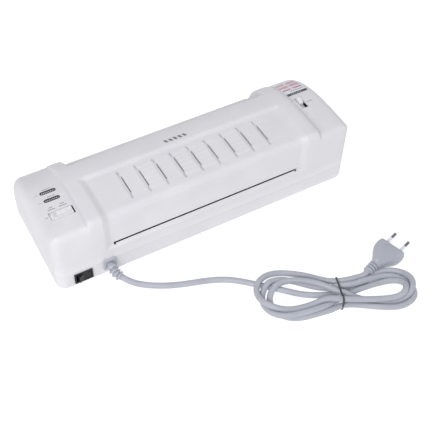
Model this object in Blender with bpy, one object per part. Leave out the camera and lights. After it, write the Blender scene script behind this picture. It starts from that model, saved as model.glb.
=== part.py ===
"""Desktop A4 pouch laminator: casing, two driven roller pairs, heater plates, controls and mains lead.

Units are metres. +X runs along the machine, -Y is the exit side with the mains switch, +Y is the feed
side and +Z is up. The origin is on the floor under the middle of the machine, switch included. Dimensions
are laid out from the middle of the casing, and centre_machine moves everything over at the end.
"""

import math

import bmesh
import bpy
from mathutils import Vector

# ---------------------------------------------------------------- driving dimensions
HALF_LENGTH = 0.191
HALF_DEPTH = 0.071
FOOT_HEIGHT = 0.0025
SEAM_Z = 0.0245
WALL = 0.0022
GAP = 0.0003
END_ROUND = 0.011
CORNER_STEPS = 9

# Upper casing. Each crown is a height and the power of the superellipse its far side follows.
CROWN_Y = -0.043
CROWN_Z = 0.0215
MID_CROWN = (0.096, 2.5)
END_CROWN = (0.0901, 2.62)
EDGE_RADIUS = 0.008
RECESS_DEPTH = 0.0036
RECESS_FAR_Y = -0.0065
RECESS_RIM_Y = -0.002
LEDGE_Z = 0.042
RECESS_X = (0.122, 0.1285)
NOTCH_X = (0.1285, 0.133)
RIDGE_X = (0.1459, 0.1491)

# Paper path and rollers.
FEED_Z = 0.0460
SLOT_HALF_LENGTH = 0.120
EXIT_SLOT_HEIGHT = 0.0024
TABLE_Z = 0.0445
FEED_SLOT_HEIGHT = 0.0034
NOTCH_Y = 0.0285
ROLLER_RADIUS = 0.011
ROLLER_HALF_LENGTH = 0.117
SHAFT_RADIUS = 0.004
SHAFT_X = (-0.131, 0.1385)
HOT_Y = 0.014
FRAME_X = 0.126
FRAME_THICKNESS = 0.0012
FRAME_Y = (-0.052, 0.028)
FRAME_TOP_Z = 0.080
BUSH_RADIUS = 0.006
BUSH_FLANGE_RADIUS = 0.0075
BUSH_SLOT_TOP_Z = 0.076

# Gears.
ROLLER_TEETH = 22
IDLER_TEETH = 24
PINION_TEETH = 12
GEAR_X = (0.131, 0.137)
NIP_HALF = ROLLER_RADIUS + GAP / 2
MODULE = 2 * NIP_HALF / ROLLER_TEETH
PULL_Y = HOT_Y - MODULE * (ROLLER_TEETH + IDLER_TEETH)
LOWER_Z = FEED_Z - NIP_HALF
UPPER_Z = FEED_Z + NIP_HALF
IDLER_Y = (HOT_Y + PULL_Y) / 2
MOTOR_Z = LOWER_Z + MODULE * (IDLER_TEETH + PINION_TEETH) / 2
MOTOR_RADIUS = 0.0225
MOTOR_X = (0.1415, 0.1625)

# Vents in the recessed panel.
VENT_COUNT = 9
VENT_PITCH = 0.0219
VENT_Y = (-0.0553, -0.0108)
VENT_DEPTH = 0.0011

# Controls on the left end: two indicator windows and the film-thickness slider.
WINDOW_X = -0.1657
WINDOW_SIZE = (0.0184, 0.0046)
WINDOW_Y = (0.0006, -0.0126)
SLIDER_CENTRE = (-0.1637, -0.0365)
SLIDER_OPENING = (0.0283, 0.0112)
SLIDER_KNOB = (0.0222, 0.0106)
SLIDER_REST = 0.0014

# Control board under the left end, on four posts.
BOARD_Z = 0.0730
BOARD_X = (-0.183, -0.135)
BOARD_Y = (-0.0445, 0.0080)
BOARD_POSTS = ((-0.180, -0.0420), (-0.138, -0.0420), (-0.180, 0.0055), (-0.138, 0.0055))

# Release lever and sticker on the right end.
LEVER_X = 0.1598
LEVER_OPENING_Y = (-0.0190, 0.0016)
LEVER_WIDTH = 0.0080
LEVER_KNOB_LENGTH = 0.0105
STICKER_X = (0.152, 0.181)
STICKER_Y = (0.0095, 0.0465)

# Mains switch and strain relief in the wall of the base.
SWITCH_CENTRE = (-0.161, 0.0148)
SWITCH_BEZEL = (0.0220, 0.0156)
SWITCH_BODY = (0.0202, 0.0132)
ROCKER_HALF_LENGTH = 0.0074
ROCKER_HALF_HEIGHT = 0.0050
ROCKER_REACH = 0.0060
ROCKER_PIVOT_Y = -0.0685
ROCKER_TILT = math.radians(12)
RELIEF_CENTRE = (-0.129, 0.0189)
RELIEF_FLANGE = (0.0162, 0.0160)
RELIEF_NECK = (0.0120, 0.0100)

# Fasteners, feet and cord.
SCREW_PLACES = ((-0.172, -0.052), (-0.172, 0.052), (0.172, -0.052), (0.172, 0.052))
FOOT_PLACES = ((-0.150, -0.050), (-0.150, 0.050), (0.150, -0.050), (0.150, 0.050))
BASE_FLOOR_Z = 0.005
BOSS_TOP_Z = 0.020
CORD_RADIUS = 0.0032
HANK_HEIGHT = 0.011
PLUG_Z = 0.00695
PLUG_START = (0.1433, -0.2084)
PLUG_ANGLE = math.radians(18.5)
PLUG_LENGTH = 0.035
PLUG_BOOT_LENGTH = 0.0175
PLUG_CORD_END = (
    PLUG_START[0] - (PLUG_BOOT_LENGTH + GAP) * math.cos(PLUG_ANGLE),
    PLUG_START[1] - (PLUG_BOOT_LENGTH + GAP) * math.sin(PLUG_ANGLE),
    PLUG_Z,
)
RELIEF_ROUTE = ((-0.1287, -0.0770, 0.0176), (-0.1266, -0.0836, 0.0124), (-0.1226, -0.0894, 0.0086))
CORD_ROUTE = (
    (-0.1223, -0.0898, 0.0083), (-0.1186, -0.0944, 0.0054), (-0.1132, -0.0999, 0.0036),
    (-0.1080, -0.1040, 0.0032), (-0.1000, -0.1095, 0.0032), (-0.0850, -0.1185, 0.0032),
    (-0.0665, -0.1262, 0.0032), (-0.0490, -0.1315, 0.0032), (-0.0325, -0.1368, 0.0032),
    (-0.0195, -0.1428, 0.0032), (-0.0080, -0.1506, 0.0032), (0.0016, -0.1590, 0.0032),
    (0.0093, -0.1668, 0.0032),
)
HANK_LEFT = (0.0295, -0.1955)
HANK_LEFT_RADII = (0.0335, 0.0345)
HANK_RIGHT = (0.1420, -0.2440)
HANK_RIGHT_RADII = (0.0275, 0.0244)
HANK_UPPER_WAIST = (
    (0.1180, -0.2255), (0.1010, -0.2225), (0.0975, -0.2170), (0.0975, -0.2085), (0.0700, -0.1920),
)
HANK_LOWER_WAIST = ((0.0538, -0.2326), (0.0783, -0.2381), (0.0930, -0.2445))
TIE_ENDS = ((0.0783, -0.2381), (0.0904, -0.2042))
TIE_SLACK = 0.0006
TIE_WIDTH = 0.0016
TAIL_ROUTE = (
    (0.0981, -0.2120, 0.0036), (0.1055, -0.2126, 0.0040), (0.1130, -0.2146, 0.0052),
    (0.1195, -0.2160, 0.0067), (PLUG_CORD_END[0] - 0.0005, PLUG_CORD_END[1] - 0.0002, PLUG_Z),
)


# ---------------------------------------------------------------- mesh helpers
def clear_scene():
    for item in list(bpy.data.objects):
        bpy.data.objects.remove(item, do_unlink=True)


def material(name, colour, roughness, metallic=0.0):
    made = bpy.data.materials.new(name)
    made.use_nodes = True
    shader = made.node_tree.nodes["Principled BSDF"]
    shader.inputs["Base Color"].default_value = (*colour, 1.0)
    shader.inputs["Roughness"].default_value = roughness
    shader.inputs["Metallic"].default_value = metallic
    return made


def add_object(name, mesh, look, smooth=False):
    item = bpy.data.objects.new(name, mesh)
    bpy.context.scene.collection.objects.link(item)
    if look:
        mesh.materials.append(look)
    if smooth:
        mesh.shade_smooth()
        mesh.set_sharp_from_angle(angle=math.radians(35))
    return item


def mesh_from_faces(name, points, faces):
    """A closed mesh with its faces turned outwards."""
    shape = bmesh.new()
    corners = [shape.verts.new(point) for point in points]
    for face in faces:
        shape.faces.new([corners[index] for index in face])
    bmesh.ops.recalc_face_normals(shape, faces=shape.faces)
    mesh = bpy.data.meshes.new(name)
    shape.to_mesh(mesh)
    shape.free()
    return mesh


def join_shapes(shapes):
    """Several (points, faces) shapes as one, still separate bodies."""
    points = []
    faces = []
    for shape_points, shape_faces in shapes:
        first = len(points)
        points += shape_points
        faces += [[first + index for index in face] for face in shape_faces]
    return points, faces


def loft(loops, closed=False):
    """Faces between loops of points. Open lofts are capped; closed ones return to the first loop."""
    count = len(loops[0])
    points = [point for loop in loops for point in loop]
    faces = []
    pairs = len(loops) if closed else len(loops) - 1
    for row in range(pairs):
        above = (row + 1) % len(loops)
        for index in range(count):
            after = (index + 1) % count
            low = row * count
            high = above * count
            faces.append([low + index, low + after, high + after, high + index])
    if not closed:
        faces.append(list(range(count)))
        faces.append([(len(loops) - 1) * count + index for index in range(count)])
    return points, faces


def box_shape(low, high):
    loops = []
    for z in (low[2], high[2]):
        loops.append([
            (low[0], low[1], z), (high[0], low[1], z), (high[0], high[1], z), (low[0], high[1], z),
        ])
    return loft(loops)


def prism_x(outline, low, high):
    """An outline of (y, z) pairs pulled along X."""
    return loft([[(x, y, z) for y, z in outline] for x in (low, high)])


def prism_y(outline, low, high):
    """An outline of (x, z) pairs pulled along Y."""
    return loft([[(x, y, z) for x, z in outline] for y in (low, high)])


def prism_z(outline, low, high):
    """An outline of (x, y) pairs pulled along Z."""
    return loft([[(x, y, z) for x, y in outline] for z in (low, high)])


def circle(centre, radius, sides, start=0.0):
    turn = 2 * math.pi / sides
    outline = []
    for index in range(sides):
        angle = start + index * turn
        outline.append((centre[0] + radius * math.cos(angle), centre[1] + radius * math.sin(angle)))
    return outline


def stadium(centre, length, width, sides):
    """A slot outline, long along its first axis, with round ends."""
    reach = (length - width) / 2
    outline = []
    for end, begin in ((1, -math.pi / 2), (-1, math.pi / 2)):
        for step in range(sides + 1):
            angle = begin + math.pi * step / sides
            outline.append((
                centre[0] + end * reach + width / 2 * math.cos(angle),
                centre[1] + width / 2 * math.sin(angle),
            ))
    return outline


def turned_x(profile, axis, sides, closed=False):
    """A profile of (x, radius) pairs turned about a line along X through axis = (y, z)."""
    loops = []
    for x, radius in profile:
        loops.append([(x, y, z) for y, z in circle(axis, radius, sides)])
    return loft(loops, closed)


def turned_z(profile, axis, sides, closed=False):
    """A profile of (z, radius) pairs turned about a vertical line through axis = (x, y)."""
    loops = []
    for z, radius in profile:
        loops.append([(x, y, z) for x, y in circle(axis, radius, sides)])
    return loft(loops, closed)


def solid(name, shape, look, smooth=False):
    return add_object(name, mesh_from_faces(name, *shape), look, smooth)


def place_origin(item, origin):
    """Moves an object's origin to a point and leaves its shape where it is."""
    shift = Vector(origin)
    for vertex in item.data.vertices:
        vertex.co -= shift
    item.location = shift


def combine(item, name, shape, operation):
    """Unites an object with a guide shape, or cuts the shape out of it."""
    guide = solid(name, shape, None)
    guide.hide_render = True
    guide.display_type = "WIRE"
    step = item.modifiers.new(name, "BOOLEAN")
    step.operation = operation
    step.solver = "EXACT"
    step.object = guide
    return guide


def smooth_route(route, spacing):
    """Points about every spacing along a Catmull-Rom curve through the route."""
    knots = [Vector(point) for point in route]
    knots = [2 * knots[0] - knots[1]] + knots + [2 * knots[-1] - knots[-2]]
    dense = []
    steps = 24
    for index in range(1, len(knots) - 2):
        before, here, there, after = knots[index - 1:index + 3]
        for step in range(steps):
            t = step / steps
            dense.append(0.5 * (2 * here + (there - before) * t
                                + (2 * before - 5 * here + 4 * there - after) * t ** 2
                                + (3 * here - before - 3 * there + after) * t ** 3))
    dense.append(knots[-2])
    lengths = [0.0]
    for one, two in zip(dense, dense[1:]):
        lengths.append(lengths[-1] + (two - one).length)
    count = max(2, round(lengths[-1] / spacing) + 1)
    picked = []
    cursor = 0
    for index in range(count):
        wanted = lengths[-1] * index / (count - 1)
        while cursor < len(lengths) - 2 and lengths[cursor + 1] < wanted:
            cursor += 1
        span = lengths[cursor + 1] - lengths[cursor]
        picked.append(dense[cursor].lerp(dense[cursor + 1], (wanted - lengths[cursor]) / span))
    return picked


def swept(path, radii, sides):
    """Rings of the given radii along a path, capped at both ends."""
    loops = []
    side = Vector((1, 0, 0))
    for index, point in enumerate(path):
        ahead = path[min(index + 1, len(path) - 1)] - path[max(index - 1, 0)]
        ahead.normalize()
        side = (side - ahead * side.dot(ahead)).normalized()
        up = ahead.cross(side)
        ring = []
        for step in range(sides):
            angle = 2 * math.pi * step / sides
            ring.append(tuple(point + radii[index] * (math.cos(angle) * side + math.sin(angle) * up)))
        loops.append(ring)
    return loft(loops)


def round_tube(name, route, radius, spacing, look):
    """A cord stretch: a curve with a round bevel and filled caps."""
    curve = bpy.data.curves.new(name, "CURVE")
    curve.dimensions = "3D"
    curve.bevel_depth = radius
    curve.bevel_resolution = 2
    curve.use_fill_caps = True
    points = smooth_route(route, spacing)
    spline = curve.splines.new("POLY")
    spline.points.add(len(points) - 1)
    for knot, point in zip(spline.points, points):
        knot.co = (*point, 1.0)
    curve.materials.append(look)
    item = bpy.data.objects.new(name, curve)
    bpy.context.scene.collection.objects.link(item)
    return item


# ---------------------------------------------------------------- the casing's outer form
def crown_z(y, crown):
    """Height of the casing over y."""
    top_z, power = crown
    if y <= CROWN_Y:
        return top_z
    across = min((y - CROWN_Y) / (HALF_DEPTH - CROWN_Y), 1.0)
    return CROWN_Z + (top_z - CROWN_Z) * (1 - across ** power) ** (1 / power)


def near_arc(face_y, top_z):
    """The rounded edge between the near face and the top."""
    arc = []
    for step in range(5):
        angle = math.pi / 2 * step / 4
        arc.append((
            face_y + EDGE_RADIUS * (1 - math.cos(angle)),
            top_z - EDGE_RADIUS * (1 - math.sin(angle)),
        ))
    return arc


FAR_SEAM = [(HALF_DEPTH - 0.0001, SEAM_Z + 0.0038), (HALF_DEPTH, SEAM_Z + GAP)]
TOP_YS = (CROWN_Y, -0.030, -0.018)
FAR_YS = (0.022, 0.032, 0.041, 0.049, 0.056, 0.062, 0.0665, 0.0695)


def full_profile(crown):
    """Outline in (y, z), from the near seam over the top to the far seam, without recess or notch."""
    outline = [(-HALF_DEPTH, SEAM_Z + GAP), (-HALF_DEPTH, LEDGE_Z), (-HALF_DEPTH, LEDGE_Z + 0.003)]
    outline += near_arc(-HALF_DEPTH, crown[0])
    for y in TOP_YS + (RECESS_FAR_Y, RECESS_RIM_Y, 0.010) + FAR_YS:
        outline.append((y, crown_z(y, crown)))
    return outline + FAR_SEAM


def recess_profile():
    """As the full profile, with the vent panel, near face and exit ledge set back."""
    outline = full_profile(MID_CROWN)
    face_y = -HALF_DEPTH + RECESS_DEPTH
    panel_z = MID_CROWN[0] - RECESS_DEPTH
    outline[2] = (face_y, LEDGE_Z + 0.003)
    outline[3:8] = near_arc(face_y, panel_z)
    for index in range(8, 12):
        y, z = outline[index]
        outline[index] = (y, z - RECESS_DEPTH)
    return outline


def notched_far_side():
    """The feed notch, which takes the place of the profile's far points."""
    start = (FAR_YS[0], crown_z(FAR_YS[0], MID_CROWN))
    wall = [(NOTCH_Y, crown_z(NOTCH_Y, MID_CROWN)), (0.0310, 0.0822), (0.0330, 0.0760), (0.0360, 0.0510)]
    table = [(0.0370, TABLE_Z), (HALF_DEPTH - 0.0018, TABLE_Z), (HALF_DEPTH - 0.0001, TABLE_Z - 0.0018)]
    return [start] + wall + table + FAR_SEAM


def blend(one, two, share):
    return [(a[0] + (b[0] - a[0]) * share, a[1] + (b[1] - a[1]) * share) for a, b in zip(one, two)]


def ramp(value, ends):
    return min(max((value - ends[0]) / (ends[1] - ends[0]), 0.0), 1.0)


def casing_profile(x, inset_shift):
    """Outer profile at a distance x from the middle. inset_shift moves the steps for the inner skin."""
    notch_count = len(FAR_YS) + len(FAR_SEAM)
    outline = blend(full_profile(MID_CROWN), full_profile(END_CROWN), ramp(x + inset_shift, RIDGE_X))
    recessed = 1 - ramp(x - inset_shift / 2, RECESS_X)
    notched = 1 - ramp(x - inset_shift, NOTCH_X)
    outline = blend(outline, recess_profile(), recessed)
    far = blend(outline[-notch_count:], notched_far_side(), notched)
    return outline[:-notch_count] + far


def offset_outline(outline, distance):
    """The open outline moved inwards; its two ends slide level along the seam."""
    moved = [(outline[0][0] + distance, outline[0][1])]
    for before, here, after in zip(outline, outline[1:], outline[2:]):
        one = Vector((here[0] - before[0], here[1] - before[1])).normalized()
        two = Vector((after[0] - here[0], after[1] - here[1])).normalized()
        normal = (Vector((one.y, -one.x)) + Vector((two.y, -two.x))).normalized()
        reach = distance / max(normal.dot(Vector((one.y, -one.x))), 0.5)
        moved.append((here[0] + normal.x * reach, here[1] + normal.y * reach))
    moved.append((outline[-1][0] - distance, outline[-1][1]))
    return moved


def end_inset(x, half_length, radius):
    """How far the round end pulls the profile in at x."""
    past = max(x - (half_length - radius), 0.0)
    return radius - math.sqrt(max(radius ** 2 - past ** 2, 0.0))


def skin_loops(half_length, radius, wall):
    """Profiles from the left end to the right end of one skin of the cover."""
    shift = 0.9 * wall
    places = [0.0, RECESS_X[0] + shift / 2, RECESS_X[1] + shift, NOTCH_X[1] + shift]
    places += [RIDGE_X[0] - shift, RIDGE_X[1] - shift]
    for step in range(5):
        places.append(half_length - radius + radius * math.sin(math.pi / 2 * step / 4))
    places = [-place for place in reversed(places[1:])] + places
    loops = []
    for x in places:
        outline = casing_profile(abs(x), shift)
        inset = wall + end_inset(abs(x), half_length, radius)
        loops.append([(x, y, z) for y, z in offset_outline(outline, inset)])
    return loops


def cover_shell_shape():
    """Outer and inner skins, their end caps, and the rim that joins them along the seam."""
    outer = skin_loops(HALF_LENGTH, END_ROUND, 0.0)
    inner = skin_loops(HALF_LENGTH - WALL, END_ROUND - WALL, WALL)
    rows = len(outer)
    count = len(outer[0])
    points = [point for loop in outer + inner for point in loop]
    faces = []
    for skin in (0, rows):
        for row in range(rows - 1):
            for index in range(count - 1):
                first = (skin + row) * count + index
                faces.append([first, first + 1, first + 1 + count, first + count])
        for row in (skin, skin + rows - 1):
            faces.append([row * count + index for index in range(count)])
    half = rows * count
    for row in range(rows - 1):
        for index in (0, count - 1):
            first = row * count + index
            faces.append([first, first + count, first + count + half, first + half])
    for row in (0, rows - 1):
        first = row * count
        last = first + count - 1
        faces.append([first, last, last + half, first + half])
    return points, faces


# ---------------------------------------------------------------- casing parts
def vent_xs():
    return [(index - (VENT_COUNT - 1) / 2) * VENT_PITCH for index in range(VENT_COUNT)]


def vent_trough(x):
    """A shallow trough with narrow tails; its floor follows the slope of the panel."""
    tail = 0.0075
    near, far = VENT_Y
    outline = [
        (x - 0.0010, near), (x + 0.0010, near), (x + 0.0024, near + tail), (x + 0.0024, far - tail),
        (x + 0.0010, far), (x - 0.0010, far), (x - 0.0024, far - tail), (x - 0.0024, near + tail),
    ]
    floor = [(px, py, crown_z(py, MID_CROWN) - RECESS_DEPTH - VENT_DEPTH) for px, py in outline]
    lid = [(px, py, MID_CROWN[0] + 0.002) for px, py in outline]
    return loft([floor, lid])


def vent_slit(x):
    near, far = VENT_Y
    slit_x = x + 0.0008
    return box_shape((slit_x - 0.0008, near + 0.009, 0.080), (slit_x + 0.0008, far - 0.009, 0.099))


def opening_shape(centre, size, low, high):
    half_x = size[0] / 2
    half_y = size[1] / 2
    return box_shape(
        (centre[0] - half_x, centre[1] - half_y, low),
        (centre[0] + half_x, centre[1] + half_y, high),
    )


def cover_cuts():
    half = SLOT_HALF_LENGTH
    low = FEED_Z - EXIT_SLOT_HEIGHT / 2
    shapes = [box_shape((-half, -0.075, low), (half, -0.060, low + EXIT_SLOT_HEIGHT))]
    feed = TABLE_Z + GAP
    shapes.append(box_shape((-half, 0.030, feed), (half, 0.0385, feed + FEED_SLOT_HEIGHT)))
    for x in vent_xs():
        shapes.append(vent_slit(x))
    for y in WINDOW_Y:
        length, width = WINDOW_SIZE
        outline = stadium((WINDOW_X, y), length + 2 * GAP, width + 2 * GAP, 6)
        shapes.append(prism_z(outline, 0.080, 0.095))
    shapes.append(opening_shape(SLIDER_CENTRE, SLIDER_OPENING, 0.080, 0.095))
    lever_y = sum(LEVER_OPENING_Y) / 2
    lever_length = LEVER_OPENING_Y[1] - LEVER_OPENING_Y[0]
    shapes.append(opening_shape((LEVER_X, lever_y), (LEVER_WIDTH + 2 * GAP, lever_length), 0.079, 0.095))
    return join_shapes(shapes)


def cover_bosses():
    """Hollow screw bosses under the end housings, and posts that carry the control board."""
    shapes = []
    for x, y in SCREW_PLACES:
        ring = circle((x, y), 0.0042, 12)
        bore = circle((x, y), 0.0018, 12)
        top = [(px, py, crown_z(py, END_CROWN) - WALL / 2) for px, py in ring]
        foot = [(px, py, BOSS_TOP_Z + GAP) for px, py in ring]
        mouth = [(px, py, BOSS_TOP_Z + GAP) for px, py in bore]
        end = [(px, py, 0.040) for px, py in bore]
        shapes.append(loft([top, foot, mouth, end]))
    for x, y in BOARD_POSTS:
        ring = circle((x, y), 0.0025, 8)
        crown = MID_CROWN if abs(x) < RIDGE_X[0] else END_CROWN
        top = [(px, py, crown_z(py, crown) - WALL / 2) for px, py in ring]
        foot = [(px, py, BOARD_Z + 0.0016 + GAP) for px, py in ring]
        shapes.append(loft([top, foot]))
    return join_shapes(shapes)


def make_top_cover(look):
    cover = solid("top_cover", cover_shell_shape(), look, smooth=True)
    combine(cover, "cover_boss_guides", cover_bosses(), "UNION")
    combine(cover, "vent_trough_cutters", join_shapes([vent_trough(x) for x in vent_xs()]), "DIFFERENCE")
    combine(cover, "cover_opening_cutters", cover_cuts(), "DIFFERENCE")
    relief_x = RELIEF_CENTRE[0]
    notch = box_shape(
        (relief_x - RELIEF_NECK[0] / 2 - GAP, -0.075, SEAM_Z - 0.001),
        (relief_x + RELIEF_NECK[0] / 2 + GAP, -0.066, SEAM_Z + 0.0012),
    )
    combine(cover, "cover_relief_cutter", notch, "DIFFERENCE")


def rounded_plan(inset):
    """The casing's plan outline, drawn in by inset."""
    radius = END_ROUND - inset
    outline = []
    corners = ((1, -1, -90), (1, 1, 0), (-1, 1, 90), (-1, -1, 180))
    for side_x, side_y, begin in corners:
        centre_x = side_x * (HALF_LENGTH - END_ROUND)
        centre_y = side_y * (HALF_DEPTH - END_ROUND)
        for step in range(CORNER_STEPS + 1):
            angle = math.radians(begin + 90 * step / CORNER_STEPS)
            outline.append((centre_x + radius * math.cos(angle), centre_y + radius * math.sin(angle)))
    return outline


def make_base_tray(look):
    lip_out = WALL + GAP
    lip_in = lip_out + 0.0014
    steps = (
        (0.0022, FOOT_HEIGHT), (0.0006, FOOT_HEIGHT + 0.0008), (0.0, FOOT_HEIGHT + 0.0024), (0.0, SEAM_Z),
        (lip_out, SEAM_Z), (lip_out, SEAM_Z + 0.003), (lip_in, SEAM_Z + 0.003), (lip_in, SEAM_Z - 0.002),
        (WALL, SEAM_Z - 0.003), (WALL, BASE_FLOOR_Z),
    )
    loops = [[(x, y, z) for x, y in rounded_plan(inset)] for inset, z in steps]
    tray = solid("base_tray", loft(loops), look, smooth=True)
    taper = ((FOOT_HEIGHT + 0.001, 0.0052), (BOSS_TOP_Z, 0.0044))
    bosses = [turned_z(taper, place, 12) for place in SCREW_PLACES]
    combine(tray, "base_boss_guides", join_shapes(bosses), "UNION")
    cuts = []
    counterbore = ((0.0, 0.0037), (0.0100, 0.0037), (0.0101, 0.0018), (0.030, 0.0018))
    for place in SCREW_PLACES:
        cuts.append(turned_z(counterbore, place, 12))
    for place in FOOT_PLACES:
        cuts.append(turned_z(((0.0, 0.0079), (FOOT_HEIGHT + 0.0010, 0.0079)), place, 16))
    switch_x, switch_z = SWITCH_CENTRE
    half_x = SWITCH_BODY[0] / 2 + GAP
    half_z = SWITCH_BODY[1] / 2 + GAP
    cuts.append(box_shape(
        (switch_x - half_x, -0.075, switch_z - half_z),
        (switch_x + half_x, -0.065, switch_z + half_z),
    ))
    relief_x, relief_z = RELIEF_CENTRE
    neck_x = RELIEF_NECK[0] / 2 + GAP
    cuts.append(box_shape(
        (relief_x - neck_x, -0.075, relief_z - RELIEF_NECK[1] / 2 - GAP),
        (relief_x + neck_x, -0.060, 0.035),
    ))
    combine(tray, "base_cutters", join_shapes(cuts), "DIFFERENCE")


def make_feet(look):
    for index, (x, y) in enumerate(FOOT_PLACES):
        side = "left" if x < 0 else "right"
        row = "exit" if y < 0 else "feed"
        top = FOOT_HEIGHT + 0.0007
        profile = ((0.0, 0.0062), (0.0006, 0.0070), (FOOT_HEIGHT - 0.0003, 0.0074), (top, 0.0074))
        solid(f"rubber_foot_{row}_{side}", turned_z(profile, (x, y), 16), look, smooth=True)


def make_case_screws(look):
    profile = (
        (0.0068, 0.0020), (0.0076, 0.0031), (0.0098, 0.0031), (0.0098, 0.0014), (0.0330, 0.0014),
        (0.0350, 0.0006),
    )
    for x, y in SCREW_PLACES:
        side = "left" if x < 0 else "right"
        row = "exit" if y < 0 else "feed"
        solid(f"case_screw_{row}_{side}", turned_z(profile, (x, y), 10), look, smooth=True)


def make_sticker(look):
    """A thin guide sticker that follows the curve of the right end housing."""
    steps = 6
    under = []
    over = []
    for index in range(steps + 1):
        y = STICKER_Y[0] + (STICKER_Y[1] - STICKER_Y[0]) * index / steps
        slope = (crown_z(y + 0.0005, END_CROWN) - crown_z(y - 0.0005, END_CROWN)) / 0.001
        tilt = Vector((-slope, 1.0)).normalized()
        z = crown_z(y, END_CROWN)
        under.append((y + tilt.x * GAP, z + tilt.y * GAP))
        over.append((y + tilt.x * (GAP + 0.00025), z + tilt.y * (GAP + 0.00025)))
    solid("guide_sticker", prism_x(under + over[::-1], *STICKER_X), look)


# ---------------------------------------------------------------- roller frame
def make_side_frame(name, sign, look):
    low, high = FRAME_Y
    inner = sign * (FRAME_X - FRAME_THICKNESS / 2)
    outer = sign * (FRAME_X + FRAME_THICKNESS / 2)
    foot = sign * (FRAME_X - 0.010)
    foot_z = BASE_FLOOR_Z + GAP
    bend_z = foot_z + FRAME_THICKNESS
    section = [
        (outer, foot_z), (outer, FRAME_TOP_Z), (inner, FRAME_TOP_Z), (inner, bend_z), (foot, bend_z),
        (foot, foot_z),
    ]
    frame = solid(name, prism_y(section, low, high), look)
    reach = (sign * FRAME_X - 0.004, sign * FRAME_X + 0.004)
    hole = BUSH_RADIUS + GAP
    corner = [(0.0214, FRAME_TOP_Z + 0.002), (0.0302, FRAME_TOP_Z - 0.014), (0.0302, FRAME_TOP_Z + 0.002)]
    cuts = [prism_x(corner, *reach)]
    for y in (HOT_Y, PULL_Y):
        cuts.append(prism_x(circle((y, LOWER_Z), hole, 16), *reach))
        slot = [(y + hole, BUSH_SLOT_TOP_Z), (y - hole, BUSH_SLOT_TOP_Z)]
        for step in range(9):
            angle = math.pi + math.pi * step / 8
            slot.append((y + hole * math.cos(angle), UPPER_Z + hole * math.sin(angle)))
        cuts.append(prism_x(slot, *reach))
    combine(frame, f"{name}_cutters", join_shapes(cuts), "DIFFERENCE")


def make_tie_bar(look):
    """A folded channel that holds the two side frames apart, above the rollers."""
    half = FRAME_X - FRAME_THICKNESS / 2 - GAP
    low, high = -0.019, 0.002
    top, rim = 0.0785, 0.0715
    thick = 0.0012
    channel = [
        (low, top), (high, top), (high, rim), (high - thick, rim), (high - thick, top - thick),
        (low + thick, top - thick), (low + thick, rim), (low, rim),
    ]
    solid("tie_bar", prism_x(channel, -half, half), look)


def make_rollers(steel, rubber):
    for name, y, z in (
        ("lower_hot_roller", HOT_Y, LOWER_Z), ("upper_hot_roller", HOT_Y, UPPER_Z),
        ("lower_pull_roller", PULL_Y, LOWER_Z), ("upper_pull_roller", PULL_Y, UPPER_Z),
    ):
        low, high = SHAFT_X
        chamfer = 0.0006
        tip = SHAFT_RADIUS - chamfer
        profile = ((low, tip), (low + chamfer, SHAFT_RADIUS), (high - chamfer, SHAFT_RADIUS), (high, tip))
        shaft = solid(f"{name}_shaft", turned_x(profile, (y, z), 16), steel, smooth=True)
        place_origin(shaft, (0, y, z))
        half = ROLLER_HALF_LENGTH
        bore = SHAFT_RADIUS + GAP
        ring = ((-half, bore), (-half, ROLLER_RADIUS), (half, ROLLER_RADIUS), (half, bore))
        sleeve = solid(f"{name}_sleeve", turned_x(ring, (y, z), 28, closed=True), rubber, smooth=True)
        place_origin(sleeve, (0, y, z))


def make_bushes(look):
    bore = SHAFT_RADIUS + GAP
    for row, y in (("hot", HOT_Y), ("pull", PULL_Y)):
        for level, z in (("lower", LOWER_Z), ("upper", UPPER_Z)):
            for side, sign in (("left", -1), ("right", 1)):
                inner = sign * 0.1234
                flange = sign * (FRAME_X - FRAME_THICKNESS / 2 - GAP)
                end = sign * 0.1295
                ring = ((inner, bore), (inner, BUSH_FLANGE_RADIUS), (flange, BUSH_FLANGE_RADIUS),
                        (flange, BUSH_RADIUS), (end, BUSH_RADIUS), (end, bore))
                shape = turned_x(ring, (y, z), 16, closed=True)
                solid(f"bush_{level}_{row}_{side}", shape, look, smooth=True)


def make_springs(look):
    """Compression springs that press the upper bushes down."""
    wire = 0.0005
    coil = 0.0038
    low = UPPER_Z + BUSH_FLANGE_RADIUS + GAP + wire
    high = BUSH_SLOT_TOP_Z - GAP - wire
    turns = 3.5
    steps = round(turns * 10)
    for row, y in (("hot", HOT_Y), ("pull", PULL_Y)):
        for side, sign in (("left", -1), ("right", 1)):
            path = []
            for step in range(steps + 1):
                share = step / steps
                angle = 2 * math.pi * turns * share
                path.append(Vector((
                    sign * FRAME_X + coil * math.cos(angle),
                    y + coil * math.sin(angle),
                    low + (high - low) * share,
                )))
            solid(f"pressure_spring_{row}_{side}", swept(path, [wire] * len(path), 6), look, smooth=True)


# ---------------------------------------------------------------- drive
def gear_outline(centre, teeth, phase):
    """Straight-sided teeth, thinner than the pitch so that meshing gears keep clear of each other."""
    pitch = teeth * MODULE / 2
    tip = pitch + 0.75 * MODULE
    root = pitch - 1.15 * MODULE
    outline = []
    for tooth in range(teeth):
        middle = phase + 2 * math.pi * tooth / teeth
        for radius, share in ((root, -0.25), (tip, -0.11), (tip, 0.11), (root, 0.25)):
            angle = middle + share * 2 * math.pi / teeth
            outline.append((centre[0] + radius * math.cos(angle), centre[1] + radius * math.sin(angle)))
    return outline


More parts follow.
